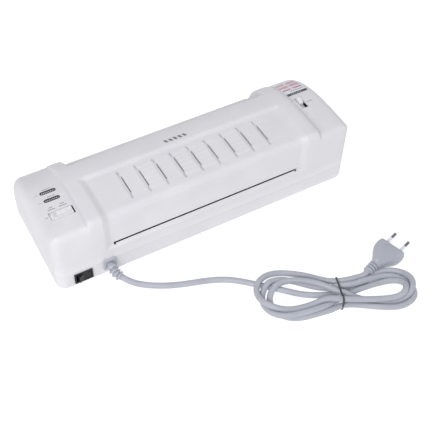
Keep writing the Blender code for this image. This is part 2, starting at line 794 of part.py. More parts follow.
def make_bored_gear(name, centre, teeth, phase, look):
    """A gear with a round bore; the bore has as many points as the rim, so both faces are plain quads."""
    rim = gear_outline(centre, teeth, phase)
    angles = [math.atan2(z - centre[1], y - centre[0]) for y, z in rim]
    bore = SHAFT_RADIUS + GAP
    hole = [(centre[0] + bore * math.cos(angle), centre[1] + bore * math.sin(angle)) for angle in angles]
    low, high = GEAR_X
    rings = ((low, hole), (low, rim), (high, rim), (high, hole))
    loops = [[(x, y, z) for y, z in ring] for x, ring in rings]
    gear = solid(name, loft(loops, closed=True), look)
    place_origin(gear, (0, *centre))


def make_spindle_gear(name, centre, teeth, phase, spindle_end, look):
    """A gear moulded in one piece with the spindle that carries it."""
    gear = solid(name, prism_x(gear_outline(centre, teeth, phase), *GEAR_X), look)
    spindle = turned_x(((GEAR_X[0] - 0.0030, 0.0028), (spindle_end, 0.0028)), centre, 12)
    combine(gear, f"{name}_spindle_guide", spindle, "UNION")
    return gear


def make_gears(look):
    half_tooth = math.pi / ROLLER_TEETH
    make_bored_gear("lower_hot_gear", (HOT_Y, LOWER_Z), ROLLER_TEETH, math.pi + half_tooth, look)
    make_bored_gear("lower_pull_gear", (PULL_Y, LOWER_Z), ROLLER_TEETH, half_tooth, look)
    make_spindle_gear("idler_gear", (IDLER_Y, LOWER_Z), IDLER_TEETH, 0.0, 0.1396, look)
    pinion_phase = -math.pi / 2 + math.pi / PINION_TEETH
    shaft_end = MOTOR_X[0] - GAP
    make_spindle_gear("motor_pinion", (IDLER_Y, MOTOR_Z), PINION_TEETH, pinion_phase, shaft_end, look)


def make_motor(body_look, steel):
    """A flat geared motor on a folded bracket that stands off the right side frame."""
    low, high = MOTOR_X
    radius = MOTOR_RADIUS
    profile = (
        (low, radius - 0.0008), (low + 0.0008, radius), (high - 0.0015, radius), (high, radius - 0.0015),
    )
    solid("gear_motor", turned_x(profile, (IDLER_Y, MOTOR_Z), 28), body_look, smooth=True)
    frame_face = FRAME_X + FRAME_THICKNESS / 2 + GAP
    plate_out = low - GAP
    plate_in = plate_out - 0.0011
    bottom, top, thick = 0.0165, 0.0785, 0.0012
    hat = [
        (frame_face, bottom), (plate_out, bottom), (plate_out, top), (frame_face, top),
        (frame_face, top - thick), (plate_in, top - thick), (plate_in, bottom + thick),
        (frame_face, bottom + thick),
    ]
    bracket = solid("motor_bracket", prism_y(hat, IDLER_Y - 0.010, IDLER_Y + 0.010), steel)
    cuts = []
    for z in (LOWER_Z, MOTOR_Z):
        cuts.append(prism_x(circle((IDLER_Y, z), 0.0032, 12), plate_in - 0.002, plate_out + 0.002))
    combine(bracket, "motor_bracket_cutters", join_shapes(cuts), "DIFFERENCE")


# ---------------------------------------------------------------- heat and guides
def make_heater_plates(look):
    """Finned aluminium plates over and under the paper path, between the roller pairs."""
    half = FRAME_X - FRAME_THICKNESS / 2 - GAP
    low, high = -0.0195, 0.0013
    for name, sign in (("upper_heater_plate", 1), ("lower_heater_plate", -1)):
        heights = (0.0013, 0.0040, 0.0075)
        face, web, fin = [FEED_Z + sign * height for height in heights]
        thick = 0.0016
        outline = [
            (low, face), (high, face), (high, fin), (high - thick, fin), (high - thick, web),
            (low + thick, web), (low + thick, fin), (low, fin),
        ]
        solid(name, prism_x(outline, -half, half), look)


def make_thermostat(look):
    base = FEED_Z + 0.0040 + GAP
    profile = ((base, 0.0074), (base + 0.0045, 0.0074), (base + 0.0050, 0.0050), (base + 0.0095, 0.0045))
    solid("thermostat", turned_z(profile, (-0.055, IDLER_Y), 16), look, smooth=True)


def make_guides(look):
    """Thin plates that lead the pouch from the feed slot to the rollers and on to the exit slot."""
    half = FRAME_X - FRAME_THICKNESS / 2 - GAP
    entry = [
        (0.0262, 0.0436), (0.0262, 0.0448), (0.0330, 0.0442), (0.0330, 0.0390), (0.0318, 0.0390),
        (0.0318, 0.0430),
    ]
    solid("entry_guide", prism_x(entry, -half, half), look)
    low = FEED_Z - 0.0022
    thick = 0.0012
    rib_end = low - 0.0070
    exit_plate = [
        (-0.0640, low), (-0.0640, low - thick), (-0.0560, low - thick), (-0.0560, rib_end),
        (-0.0548, rib_end), (-0.0548, low - thick), (-0.0450, low - 0.0007), (-0.0450, low + 0.0005),
    ]
    solid("exit_guide", prism_x(exit_plate, -half, half), look)


# ---------------------------------------------------------------- controls
def make_control_board(look):
    plate = box_shape((BOARD_X[0], BOARD_Y[0], BOARD_Z), (BOARD_X[1], BOARD_Y[1], BOARD_Z + 0.0016))
    board = solid("control_board", plate, look)
    top = BOARD_Z + 0.0012
    blocks = [
        opening_shape((SLIDER_CENTRE[0], SLIDER_CENTRE[1]), (0.018, 0.008), top, BOARD_Z + 0.0060),
        opening_shape((-0.147, -0.018), (0.010, 0.014), top, BOARD_Z + 0.0090),
        prism_z(circle((-0.174, -0.024), 0.0040, 12), top, BOARD_Z + 0.0100),
    ]
    combine(board, "board_component_guides", join_shapes(blocks), "UNION")


def make_indicator_windows(look):
    length, width = WINDOW_SIZE
    for name, y in zip(("power_indicator", "ready_indicator"), WINDOW_Y):
        top = crown_z(y, END_CROWN) + 0.0002
        solid(name, prism_z(stadium((WINDOW_X, y), length, width, 6), BOARD_Z + 0.0016 + GAP, top), look)


def make_slider(look):
    """The knob of the film-thickness switch, flat and a little proud of the housing."""
    x = SLIDER_CENTRE[0] + SLIDER_REST
    y = SLIDER_CENTRE[1]
    half_x = SLIDER_KNOB[0] / 2
    half_y = SLIDER_KNOB[1] / 2
    floor = BOARD_Z + 0.0060 + GAP
    top = END_CROWN[0] + 0.0006
    loops = []
    for inset, z in ((0.004, floor), (0.004, 0.0840), (0.0, 0.0845), (0.0, top - 0.0008), (0.0008, top)):
        reach_x = half_x - inset
        reach_y = half_y - min(inset, 0.0025)
        loops.append([
            (x - reach_x, y - reach_y, z), (x + reach_x, y - reach_y, z),
            (x + reach_x, y + reach_y, z), (x - reach_x, y + reach_y, z),
        ])
    knob = solid("thickness_slider", loft(loops), look)
    place_origin(knob, (x, y, top))


def make_release_lever(look):
    """The knob that frees a jammed pouch: a ridged block on a skirt that runs under the housing."""
    far = LEVER_OPENING_Y[1] - 0.0006
    near = far - LEVER_KNOB_LENGTH
    half = LEVER_WIDTH / 2 - GAP
    low, skirt, top = 0.0822, 0.0838, 0.0918
    side = [
        (near - 0.0070, low), (far + 0.0070, low), (far + 0.0070, skirt), (far, skirt),
        (far, top - 0.0022), (far - 0.0030, top), (near + 0.0040, top - 0.0008), (near, top - 0.0045),
        (near, skirt), (near - 0.0070, skirt),
    ]
    lever = solid("release_lever", prism_x(side, LEVER_X - half, LEVER_X + half), look)
    place_origin(lever, (LEVER_X, (near + far) / 2, skirt))


def make_power_switch(look):
    """The housing of the mains switch and its rocker, which turns about a vertical axis."""
    x, z = SWITCH_CENTRE
    front = -HALF_DEPTH - 0.0014
    back = -0.0585

    def ring(size, y):
        return [(x + sx * size[0] / 2, y, z + sz * size[1] / 2)
                for sx, sz in ((-1, -1), (1, -1), (1, 1), (-1, 1))]

    mouth = (0.0182, 0.0112)
    flange = -HALF_DEPTH - GAP
    loops = [
        ring(mouth, -0.0610), ring(mouth, front), ring(SWITCH_BEZEL, front), ring(SWITCH_BEZEL, flange),
        ring(SWITCH_BODY, flange), ring(SWITCH_BODY, back),
    ]
    solid("power_switch_housing", loft(loops), look)
    half = ROCKER_HALF_LENGTH
    face = [
        (-half, -ROCKER_REACH), (-half * 0.55, -0.0046), (0.0, -0.0036), (half * 0.55, -0.0046),
        (half, -ROCKER_REACH), (half, -0.0020), (0.0030, 0.0040), (-0.0030, 0.0040), (-half, -0.0020),
    ]
    rocker = solid("power_switch_rocker", prism_z(face, -ROCKER_HALF_HEIGHT, ROCKER_HALF_HEIGHT), look)
    rocker.location = (x, ROCKER_PIVOT_Y, z)
    rocker.rotation_euler = (0, 0, ROCKER_TILT)


# ---------------------------------------------------------------- mains lead
def make_strain_relief(look):
    """A flange outside the wall, a neck through it, and a ribbed boot that bends down to the floor."""
    x, z = RELIEF_CENTRE
    path = smooth_route(((x, -HALF_DEPTH - 0.0015, z),) + RELIEF_ROUTE, 0.0012)
    radii = []
    for index in range(len(path)):
        share = index / (len(path) - 1)
        body = 0.0056 - 0.0016 * share
        ribbed = 0.15 < share < 0.85 and index % 3 == 0
        radii.append(body + (0.0007 if ribbed else 0.0))
    relief = solid("strain_relief", swept(path, radii, 12), look, smooth=True)
    flange_y = -HALF_DEPTH - GAP
    half_x, half_z = RELIEF_FLANGE[0] / 2, RELIEF_FLANGE[1] / 2
    flange = box_shape((x - half_x, flange_y - 0.0022, z - half_z), (x + half_x, flange_y, z + half_z))
    combine(relief, "relief_flange_guide", flange, "UNION")
    half_x, half_z = RELIEF_NECK[0] / 2, RELIEF_NECK[1] / 2
    neck = box_shape((x - half_x, flange_y - 0.001, z - half_z), (x + half_x, -0.0640, z + half_z))
    combine(relief, "relief_neck_guide", neck, "UNION")


def arc_points(centre, radii, begin, end, steps):
    points = []
    for step in range(steps + 1):
        angle = math.radians(begin + (end - begin) * step / steps)
        points.append((centre[0] + radii[0] * math.cos(angle), centre[1] + radii[1] * math.sin(angle)))
    return points


def make_hank(look):
    """The tied bundle of cord as one solid: two round lobes with a waist between them."""
    outline = arc_points(HANK_LEFT, HANK_LEFT_RADII, 60, 270, 14)
    outline += HANK_LOWER_WAIST
    outline += arc_points(HANK_RIGHT, HANK_RIGHT_RADII, -133, 100, 14)
    outline += HANK_UPPER_WAIST
    solid("cord_hank", prism_z(outline, 0.0, HANK_HEIGHT), look)


def make_cord_tie(look):
    """A wire tie over the waist of the bundle, drawn as a band that stands just off it."""
    low, high = [Vector(end) for end in TIE_ENDS]
    along = (high - low).normalized()
    across = Vector((along.y, -along.x)) * TIE_WIDTH / 2
    inner = TIE_SLACK
    outer = TIE_SLACK + 0.0012
    band = [
        (low, -inner, 0.0), (low, -inner, HANK_HEIGHT + inner), (high, inner, HANK_HEIGHT + inner),
        (high, inner, 0.0), (high, outer, 0.0), (high, outer, HANK_HEIGHT + outer),
        (low, -outer, HANK_HEIGHT + outer), (low, -outer, 0.0),
    ]
    loops = []
    for side in (-1, 1):
        ring = []
        for end, reach, z in band:
            place = end + along * reach + across * side
            ring.append((place.x, place.y, z))
        loops.append(ring)
    solid("cord_tie", loft(loops), look)


def plug_point(along, across, up):
    """A point in the plug's own frame, which starts where the plug's boot meets its body."""
    cos = math.cos(PLUG_ANGLE)
    sin = math.sin(PLUG_ANGLE)
    x = PLUG_START[0] + along * cos - across * sin
    y = PLUG_START[1] + along * sin + across * cos
    return (x, y, PLUG_Z + up)


def make_plug(body_look, pin_look):
    """A flat two-pin plug with a ribbed boot, lying on the floor."""
    half_widths = (
        (0.0, 0.0062), (0.0050, 0.0080), (0.0130, 0.0128), (0.0190, 0.0166), (0.0260, 0.0176),
        (0.0325, 0.0174), (PLUG_LENGTH, 0.0152),
    )
    outline = [(along, -width) for along, width in half_widths]
    outline += [(along, width) for along, width in reversed(half_widths)]
    loops = []
    for up, inset in ((-0.00685, 0.0018), (-0.0046, 0.0), (0.0046, 0.0), (0.00685, 0.0018)):
        ring = []
        for along, across in outline:
            side = math.copysign(abs(across) - inset, across)
            ring.append(plug_point(min(along, PLUG_LENGTH - inset), side, up))
        loops.append(ring)
    body = solid("plug_body", loft(loops), body_look, smooth=True)
    overlap = 0.003
    reach = PLUG_BOOT_LENGTH + overlap
    boot_path = [Vector(plug_point(overlap - reach * step / 18, 0.0, 0.0)) for step in range(19)]
    radii = []
    for index in range(19):
        ribbed = 4 <= index <= 15 and index % 3 == 0
        radii.append(0.0058 - 0.0014 * index / 18 + (0.0007 if ribbed else 0.0))
    combine(body, "plug_boot_guide", swept(boot_path, radii, 12), "UNION")
    for name, across in (("plug_pin_left", 0.0093), ("plug_pin_right", -0.0093)):
        steps = (
            (GAP, 0.0020), (0.0100, 0.0020), (0.0102, 0.0019), (0.0182, 0.0019), (0.0190, 0.0013),
        )
        path = [Vector(plug_point(PLUG_LENGTH + along, across, 0.0)) for along, radius in steps]
        solid(name, swept(path, [radius for along, radius in steps], 12), pin_look, smooth=True)


def centre_machine():
    """Evens out the proud half of the rocker: everything moves a little towards the feed side."""
    along = ROCKER_HALF_LENGTH * math.sin(ROCKER_TILT)
    out = ROCKER_REACH * math.cos(ROCKER_TILT)
    exit_reach = out + along - ROCKER_PIVOT_Y
    for item in bpy.data.objects:
        item.location.y += (exit_reach - HALF_DEPTH) / 2


def main():
    clear_scene()
    casing = material("white_casing", (0.80, 0.80, 0.82), 0.38)
    steel = material("zinc_plated_steel", (0.62, 0.63, 0.65), 0.35, 1.0)
    bright = material("ground_steel", (0.70, 0.70, 0.72), 0.22, 1.0)
    rubber = material("silicone_rubber", (0.55, 0.20, 0.14), 0.75)
    foot_rubber = material("foot_rubber", (0.05, 0.05, 0.05), 0.85)
    bush = material("brown_bush_plastic", (0.28, 0.17, 0.10), 0.5)
    gear = material("white_gear_nylon", (0.83, 0.82, 0.76), 0.45)
    aluminium = material("heater_aluminium", (0.77, 0.78, 0.79), 0.32, 1.0)
    black = material("black_switch_plastic", (0.03, 0.03, 0.03), 0.35)
    board = material("circuit_board_green", (0.05, 0.22, 0.10), 0.5)
    window = material("indicator_lens", (0.30, 0.31, 0.33), 0.2)
    sticker = material("sticker_film", (0.80, 0.80, 0.82), 0.3)
    cord = material("grey_cord_pvc", (0.52, 0.54, 0.60), 0.5)
    tie = material("tie_wire_sleeve", (0.08, 0.08, 0.09), 0.5)
    make_base_tray(casing)
    make_top_cover(casing)
    make_feet(foot_rubber)
    make_case_screws(steel)
    make_sticker(sticker)
    make_side_frame("side_frame_left", -1, steel)
    make_side_frame("side_frame_right", 1, steel)
    make_tie_bar(steel)
    make_rollers(bright, rubber)
    make_bushes(bush)
    make_springs(bright)
    make_gears(gear)
    make_motor(steel, steel)
    make_heater_plates(aluminium)
    make_thermostat(black)
    make_guides(black)
    make_control_board(board)
    make_indicator_windows(window)
    make_slider(casing)
    make_release_lever(casing)
    make_power_switch(black)
    make_strain_relief(cord)
    round_tube("power_cord", CORD_ROUTE, CORD_RADIUS, 0.0085, cord)
    make_hank(cord)
    make_cord_tie(tie)
    round_tube("plug_lead", TAIL_ROUTE, CORD_RADIUS, 0.005, cord)
    make_plug(cord, bright)
    centre_machine()


main()
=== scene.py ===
"""Looks of the pouch laminator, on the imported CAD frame. Units are metres, in the frame's own axes."""

import math

import bmesh
import bpy
import numpy as np
from mathutils import Matrix, Vector


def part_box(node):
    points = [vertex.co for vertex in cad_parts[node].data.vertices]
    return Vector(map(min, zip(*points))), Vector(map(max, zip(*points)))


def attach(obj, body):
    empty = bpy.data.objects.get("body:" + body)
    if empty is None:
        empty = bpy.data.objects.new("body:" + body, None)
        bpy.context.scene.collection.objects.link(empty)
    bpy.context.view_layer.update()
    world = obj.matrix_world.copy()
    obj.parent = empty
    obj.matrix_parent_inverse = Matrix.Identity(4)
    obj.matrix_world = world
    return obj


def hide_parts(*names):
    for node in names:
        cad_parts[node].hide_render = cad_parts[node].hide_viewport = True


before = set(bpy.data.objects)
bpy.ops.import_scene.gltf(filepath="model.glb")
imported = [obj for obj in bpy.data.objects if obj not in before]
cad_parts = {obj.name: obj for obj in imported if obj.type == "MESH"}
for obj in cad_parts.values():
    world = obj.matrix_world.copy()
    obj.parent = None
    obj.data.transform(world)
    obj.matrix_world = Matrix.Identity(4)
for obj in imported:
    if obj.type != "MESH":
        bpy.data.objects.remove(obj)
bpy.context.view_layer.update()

# ---------------------------------------------------------------- dimensions
# Most are the CAD's own. The recess's ramps are longer, the slider's opening is 0.7 mm wider and the cord is
# 0.6 mm thicker than there, and SEAM_Z is the cover's lower edge, a gap above the tray.
HALF_LENGTH = 0.191
HALF_DEPTH = 0.071
SEAM_Z = 0.0248
TRAY_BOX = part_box("base_tray")
SHIFT_Y = (TRAY_BOX[0][1] + TRAY_BOX[1][1]) / 2
WALL = 0.0022
GAP = 0.0003
END_ROUND = 0.011
CROWN_Y = -0.043
CROWN_Z = 0.0215
MID_CROWN = (0.096, 2.5)
END_CROWN = (0.0901, 2.62)
EDGE_RADIUS = 0.008
RECESS_DEPTH = 0.0036
RECESS_FAR_Y = -0.0065
RECESS_RIM_Y = -0.002
RECESS_X = (0.1215, 0.1325)
NOTCH_X = (0.1285, 0.133)
RIDGE_X = (0.1459, 0.1491)
TABLE_Z = 0.0445
SLOT_HALF_LENGTH = 0.120
FEED_SLOT_HEIGHT = 0.0034
VENT_COUNT = 9
VENT_PITCH = 0.0219
VENT_Y = (-0.0553, -0.0108)
TROUGH_DEPTH = 0.0006
TAIL_DEPTH = 0.0019
WINDOW_X = -0.1657
WINDOW_SIZE = (0.0184, 0.0046)
WINDOW_Y = (0.0006, -0.0126)
WINDOW_RIM = 0.0017
ROUND_SIDES = 10
SLIDER_CENTRE = (-0.1637, -0.0365)
SLIDER_OPENING = (0.0283, 0.0119)
SLIDER_KNOB = (0.0222, 0.0106)
SLIDER_REST = 0.0014
LEVER_X = 0.1598
LEVER_OPENING_Y = (-0.0190, 0.0016)
LEVER_WIDTH = 0.0080
LEVER_KNOB_LENGTH = 0.0105
OPENING_CORNER = 0.0007
CUTTER_TOP = 0.099
OPENING_TOP = 0.095
TOP_WALL_LOW = 0.080
STICKER_X = (0.152, 0.181)
STICKER_Y = (0.0095, 0.0465)
RELIEF_CENTRE = (-0.129, 0.0189)
RELIEF_NECK = (0.0120, 0.0100)
RELIEF_FLANGE = (0.0162, 0.0160)
RELIEF_ROUTE = ((-0.1287, -0.0770, 0.0176), (-0.1266, -0.0836, 0.0124), (-0.1226, -0.0894, 0.0086))
CORD_RADIUS = 0.0035
PLUG_Z = 0.00695
PLUG_START = (0.1433, -0.2084)
PLUG_ANGLE = math.radians(18.5)
PLUG_LENGTH = 0.035
PLUG_BOOT_LENGTH = 0.0175
BOOT_SIDES = 28
# Boots, as the radius at the start and end, the number of ribs and how far they rise.
GLAND_BOOT = (0.0042, 0.0036, 4, 0.0021)
PLUG_BOOT = (0.0041, 0.0037, 4, 0.0025)
TIE_ENDS = ((0.0783, -0.2381), (0.0904, -0.2042))
SHARP_ANGLE = math.radians(35)


# ---------------------------------------------------------------- camera, floor and light
def make_camera():
    turn, tip, roll = math.radians(-29.96), math.radians(50.19), math.radians(1.6)
    aim = Vector((0.01759, SHIFT_Y - 0.05266, 0.0015))
    distance = 1.0518
    back = Vector((math.sin(turn) * math.cos(tip), -math.cos(turn) * math.cos(tip), math.sin(tip)))
    right = Vector((0, 0, 1)).cross(back).normalized()
    above = back.cross(right)
    across = right * math.cos(roll) + above * math.sin(roll)
    upright = above * math.cos(roll) - right * math.sin(roll)
    lens = bpy.data.cameras.new("camera")
    lens.lens = 72.59
    lens.sensor_width = 36.0
    lens.clip_end = 20.0
    camera = bpy.data.objects.new("camera", lens)
    place = aim + back * distance
    camera.matrix_world = Matrix((
        (across.x, upright.x, back.x, place.x),
        (across.y, upright.y, back.y, place.y),
        (across.z, upright.z, back.z, place.z),
        (0, 0, 0, 1),
    ))
    bpy.context.scene.collection.objects.link(camera)
    bpy.context.scene.camera = camera


def area_light(name, place, aim, size, power):
    lamp = bpy.data.lights.new(name, "AREA")
    lamp.shape = "DISK"
    lamp.size = size
    lamp.energy = power
    item = bpy.data.objects.new(name, lamp)
    item.location = place
    item.rotation_euler = (Vector(place) - Vector(aim)).to_track_quat("Z", "Y").to_euler()
    bpy.context.scene.collection.objects.link(item)


def make_studio():
    world = bpy.data.worlds.new("studio")
    bpy.context.scene.world = world
    bpy.context.scene.view_settings.view_transform = "Standard"
    world.use_nodes = True
    sky = world.node_tree.nodes["Background"]
    sky.inputs["Color"].default_value = (0.97, 0.98, 1.0, 1.0)
    sky.inputs["Strength"].default_value = 0.32
    area_light("key_light", (-1.11, -0.99, 1.37), (0, -0.05, 0.03), 1.3, 27.5)
    area_light("top_light", (0.2, 0.1, 1.9), (0, -0.02, 0.06), 1.6, 5.5)
    area_light("back_light", (0.5, 1.4, 1.0), (0, 0.0, 0.03), 1.6, 4.8)
    area_light("side_light", (1.5, -0.7, 0.9), (0, -0.05, 0.03), 1.0, 5.8)
    floor_mesh = bpy.data.meshes.new("floor")
    reach = 6.0
    floor_mesh.from_pydata(
        [(-reach, -reach, 0), (reach, -reach, 0), (reach, reach, 0), (-reach, reach, 0)], [], [(0, 1, 2, 3)]
    )
    floor = bpy.data.objects.new("floor", floor_mesh)
    bpy.context.scene.collection.objects.link(floor)
    look = bpy.data.materials.new("pale_floor")
    look.use_nodes = True
    shader = look.node_tree.nodes["Principled BSDF"]
    shader.inputs["Base Color"].default_value = (0.26, 0.26, 0.26, 1)
    shader.inputs["Roughness"].default_value = 0.9
    shader.inputs["Emission Color"].default_value = (1, 1, 1, 1)
    shader.inputs["Emission Strength"].default_value = 0.84
    floor_mesh.materials.append(look)


# ---------------------------------------------------------------- materials
class Look:
    """A material under construction, with short calls for the nodes it uses."""

    def __init__(self, name, colour, roughness, metallic=0.0):
        self.item = bpy.data.materials.new(name)
        self.item.use_nodes = True
        self.nodes = self.item.node_tree.nodes
        self.links = self.item.node_tree.links
        self.shader = self.nodes["Principled BSDF"]
        self.shader.inputs["Base Color"].default_value = (*colour, 1)
        self.shader.inputs["Roughness"].default_value = roughness
        self.shader.inputs["Metallic"].default_value = metallic
        self.coords = self.nodes.new("ShaderNodeTexCoord").outputs["Object"]

    def stretched(self, scale):
        mapping = self.nodes.new("ShaderNodeMapping")
        mapping.inputs["Scale"].default_value = scale
        self.links.new(self.coords, mapping.inputs["Vector"])
        return mapping.outputs["Vector"]

    def noise(self, scale, detail=3.0, coords=None):
        node = self.nodes.new("ShaderNodeTexNoise")
        node.inputs["Scale"].default_value = scale
        node.inputs["Detail"].default_value = detail
        self.links.new(coords or self.coords, node.inputs["Vector"])
        return node.outputs["Fac"]

    def ranged(self, value, low, high, to_low, to_high):
        node = self.nodes.new("ShaderNodeMapRange")
        for index, number in enumerate((low, high, to_low, to_high), 1):
            node.inputs[index].default_value = number
        self.links.new(value, node.inputs[0])
        return node.outputs[0]

    def mixed(self, share, one, two):
        """A colour mix. One and two are colours or sockets."""
        node = self.nodes.new("ShaderNodeMix")
        node.data_type = "RGBA"
        self.links.new(share, node.inputs[0])
        for socket, value in ((node.inputs[6], one), (node.inputs[7], two)):
            if isinstance(value, tuple):
                socket.default_value = (*value, 1)
            else:
                self.links.new(value, socket)
        return node.outputs[2]

    def paint(self, colour):
        self.links.new(colour, self.shader.inputs["Base Color"])

    def rough(self, value):
        self.links.new(value, self.shader.inputs["Roughness"])

    def bump(self, height, distance):
        node = self.nodes.new("ShaderNodeBump")
        node.inputs["Strength"].default_value = 1.0
        node.inputs["Distance"].default_value = distance
        self.links.new(height, node.inputs["Height"])
        self.links.new(node.outputs["Normal"], self.shader.inputs["Normal"])

    def edge_wear_and_highlight(self, base, edge):
        """The base colour with its sharp edges turned to another: a painted highlight on moulded parts, wear
        on metal ones.
        """
        geometry = self.nodes.new("ShaderNodeNewGeometry")
        share = self.ranged(geometry.outputs["Pointiness"], 0.53, 0.62, 0.0, 1.0)
        return self.mixed(share, base, edge)


def moulded(name, dark, light, roughness, grain=1500.0, depth=0.00004, patch=28.0, edge=None, shine=0.5):
    """Moulded plastic or rubber: a spark-eroded grain, faint cloudiness and, where an edge colour is given, a
    painted highlight along sharp edges.
    """
    look = Look(name, light, roughness[0])
    cloud = look.noise(patch, 4.0)
    speckle = look.noise(grain * 0.6, 2.0)
    base = look.mixed(look.ranged(cloud, 0.35, 0.65, 0.0, 1.0), dark, light)
    shade = tuple(channel * 0.965 for channel in dark)
    base = look.mixed(look.ranged(speckle, 0.55, 0.75, 0.0, 1.0), base, shade)
    # Painted highlight: the sharp edges take the lighter edge colour.
    if edge:
        base = look.edge_wear_and_highlight(base, edge)
    look.paint(base)
    look.rough(look.ranged(look.noise(patch * 4, 5.0), 0.3, 0.7, roughness[0], roughness[1]))
    look.bump(look.noise(grain, 2.0), depth)
    look.shader.inputs["Specular IOR Level"].default_value = shine
    return look.item


def lens_look():
    """A ribbed smoky window: fine light ribs across a dark tint."""
    look = Look("indicator_lens", (0.2, 0.2, 0.22), 0.2)
    wave = look.nodes.new("ShaderNodeTexWave")
    wave.bands_direction = "X"
    wave.inputs["Scale"].default_value = 150.0
    wave.inputs["Distortion"].default_value = 0.2
    look.links.new(look.coords, wave.inputs["Vector"])
    ribs = wave.outputs["Fac"]
    base = look.mixed(look.ranged(ribs, 0.45, 0.95, 0.0, 1.0), (0.07, 0.07, 0.08), (0.58, 0.58, 0.62))
    cloud = look.ranged(look.noise(900.0), 0.4, 0.7, 0.0, 0.5)
    look.paint(look.mixed(cloud, base, (0.14, 0.14, 0.16)))
    look.bump(ribs, 0.0001)
    return look.item


def metal(name, dark, light, roughness):
    """Rolled or ground metal: fine streaks along one axis and dull patches."""
    look = Look(name, light, roughness[0], 1.0)
    streak = look.noise(1.0, 4.0, look.stretched((40.0, 2500.0, 2500.0)))
    base = look.mixed(look.ranged(streak, 0.3, 0.7, 0.0, 1.0), dark, light)
    look.paint(look.edge_wear_and_highlight(base, tuple(min(1.0, channel * 1.15) for channel in light)))
    look.rough(look.ranged(look.noise(60.0, 4.0), 0.3, 0.7, roughness[0], roughness[1]))
    look.bump(streak, 0.00001)
    return look.item


def board_look():
    """Solder mask with copper tracks under it, and pads."""
    look = Look("circuit_board_green", (0.03, 0.17, 0.07), 0.4)
    brick = look.nodes.new("ShaderNodeTexBrick")
    brick.inputs["Scale"].default_value = 160.0
    brick.inputs["Mortar Size"].default_value = 0.03
    look.links.new(look.coords, brick.inputs["Vector"])
    track = look.mixed(brick.outputs["Fac"], (0.03, 0.17, 0.07), (0.06, 0.27, 0.12))
    spots = look.nodes.new("ShaderNodeTexVoronoi")
    spots.inputs["Scale"].default_value = 260.0
    look.links.new(look.coords, spots.inputs["Vector"])
    pads = look.ranged(spots.outputs["Distance"], 0.12, 0.16, 1.0, 0.0)
    look.paint(look.mixed(pads, track, (0.62, 0.60, 0.55)))
    look.rough(look.ranged(look.noise(90.0, 3.0), 0.3, 0.7, 0.35, 0.55))
    look.bump(brick.outputs["Fac"], 0.00003)
    return look.item


def pin_look():
    """A moulded sleeve on the first part of each pin and nickel plate on its tip."""
    look = Look("plug_pin", (0.72, 0.73, 0.77), 0.4)
    turn = look.nodes.new("ShaderNodeVectorMath")
    turn.operation = "DOT_PRODUCT"
    look.links.new(look.coords, turn.inputs[0])
    turn.inputs[1].default_value = (math.cos(PLUG_ANGLE), math.sin(PLUG_ANGLE), 0)
    start = PLUG_START[0] * math.cos(PLUG_ANGLE) + (PLUG_START[1] + SHIFT_Y) * math.sin(PLUG_ANGLE)
    sleeve_end = start + PLUG_LENGTH + 0.0096
    tip = look.ranged(turn.outputs["Value"], sleeve_end, sleeve_end + 0.0003, 0.0, 1.0)
    grain = look.noise(900.0, 2.0)
    sleeve = look.mixed(grain, (0.66, 0.68, 0.74), (0.76, 0.78, 0.83))
    plate = look.mixed(grain, (0.22, 0.22, 0.23), (0.38, 0.38, 0.40))
    look.paint(look.mixed(tip, sleeve, plate))
    look.links.new(tip, look.shader.inputs["Metallic"])
    look.rough(look.ranged(tip, 0.0, 1.0, 0.42, 0.24))
    look.bump(grain, 0.00001)
    return look.item


PAPER = {"grain": 600.0, "depth": 0.00001}
# Moulded looks: dark and light colour, roughness range, and what differs from moulded's own values.
# An edge colour is a painted highlight, lighter than the body, along sharp edges.
MOULDED = {
    "white_casing": ((0.668, 0.658, 0.695), (0.698, 0.688, 0.722), (0.40, 0.52),
                     {"edge": (0.75, 0.742, 0.775)}),
    "casing_knob": ((0.672, 0.664, 0.70), (0.71, 0.70, 0.735), (0.34, 0.46),
                    {"grain": 2200.0, "edge": (0.80, 0.805, 0.83)}),
    "foot_rubber": ((0.012, 0.012, 0.013), (0.022, 0.022, 0.023), (0.75, 0.9),
                    {"grain": 1100.0, "shine": 0.15}),
    "silicone_rubber": ((0.42, 0.13, 0.09), (0.52, 0.18, 0.12), (0.62, 0.8),
                        {"grain": 1300.0, "edge": (0.60, 0.26, 0.18)}),
    "brown_bush_plastic": ((0.20, 0.11, 0.06), (0.29, 0.17, 0.10), (0.42, 0.56), {}),
    "white_gear_nylon": ((0.74, 0.73, 0.66), (0.82, 0.81, 0.74), (0.38, 0.5), {}),
    "black_switch_plastic": ((0.010, 0.010, 0.012), (0.018, 0.018, 0.021), (0.32, 0.46),
                             {"grain": 2400.0, "depth": 0.00002, "shine": 0.2}),
    "sticker_film": ((0.62, 0.64, 0.72), (0.68, 0.70, 0.78), (0.22, 0.32), PAPER),
    "sticker_deep_red": ((0.42, 0.13, 0.14), (0.52, 0.18, 0.19), (0.3, 0.4), PAPER),
    "sticker_red": ((0.56, 0.29, 0.31), (0.66, 0.37, 0.39), (0.3, 0.4), PAPER),
    "print_grey": ((0.16, 0.16, 0.18), (0.26, 0.26, 0.29), (0.4, 0.5), {"depth": 0.00001}),
    "print_black": ((0.03, 0.03, 0.035), (0.06, 0.06, 0.065), (0.35, 0.45), {"depth": 0.00001}),
    "grey_cord_pvc": ((0.385, 0.40, 0.455), (0.435, 0.45, 0.505), (0.42, 0.55),
                      {"grain": 1800.0, "depth": 0.00003, "patch": 40.0}),
    "plug_pvc": ((0.37, 0.385, 0.44), (0.43, 0.445, 0.50), (0.42, 0.56),
                 {"grain": 1600.0, "depth": 0.00004, "edge": (0.52, 0.535, 0.59)}),
    "tie_wire_sleeve": ((0.03, 0.03, 0.035), (0.06, 0.06, 0.065), (0.45, 0.6), {}),
}
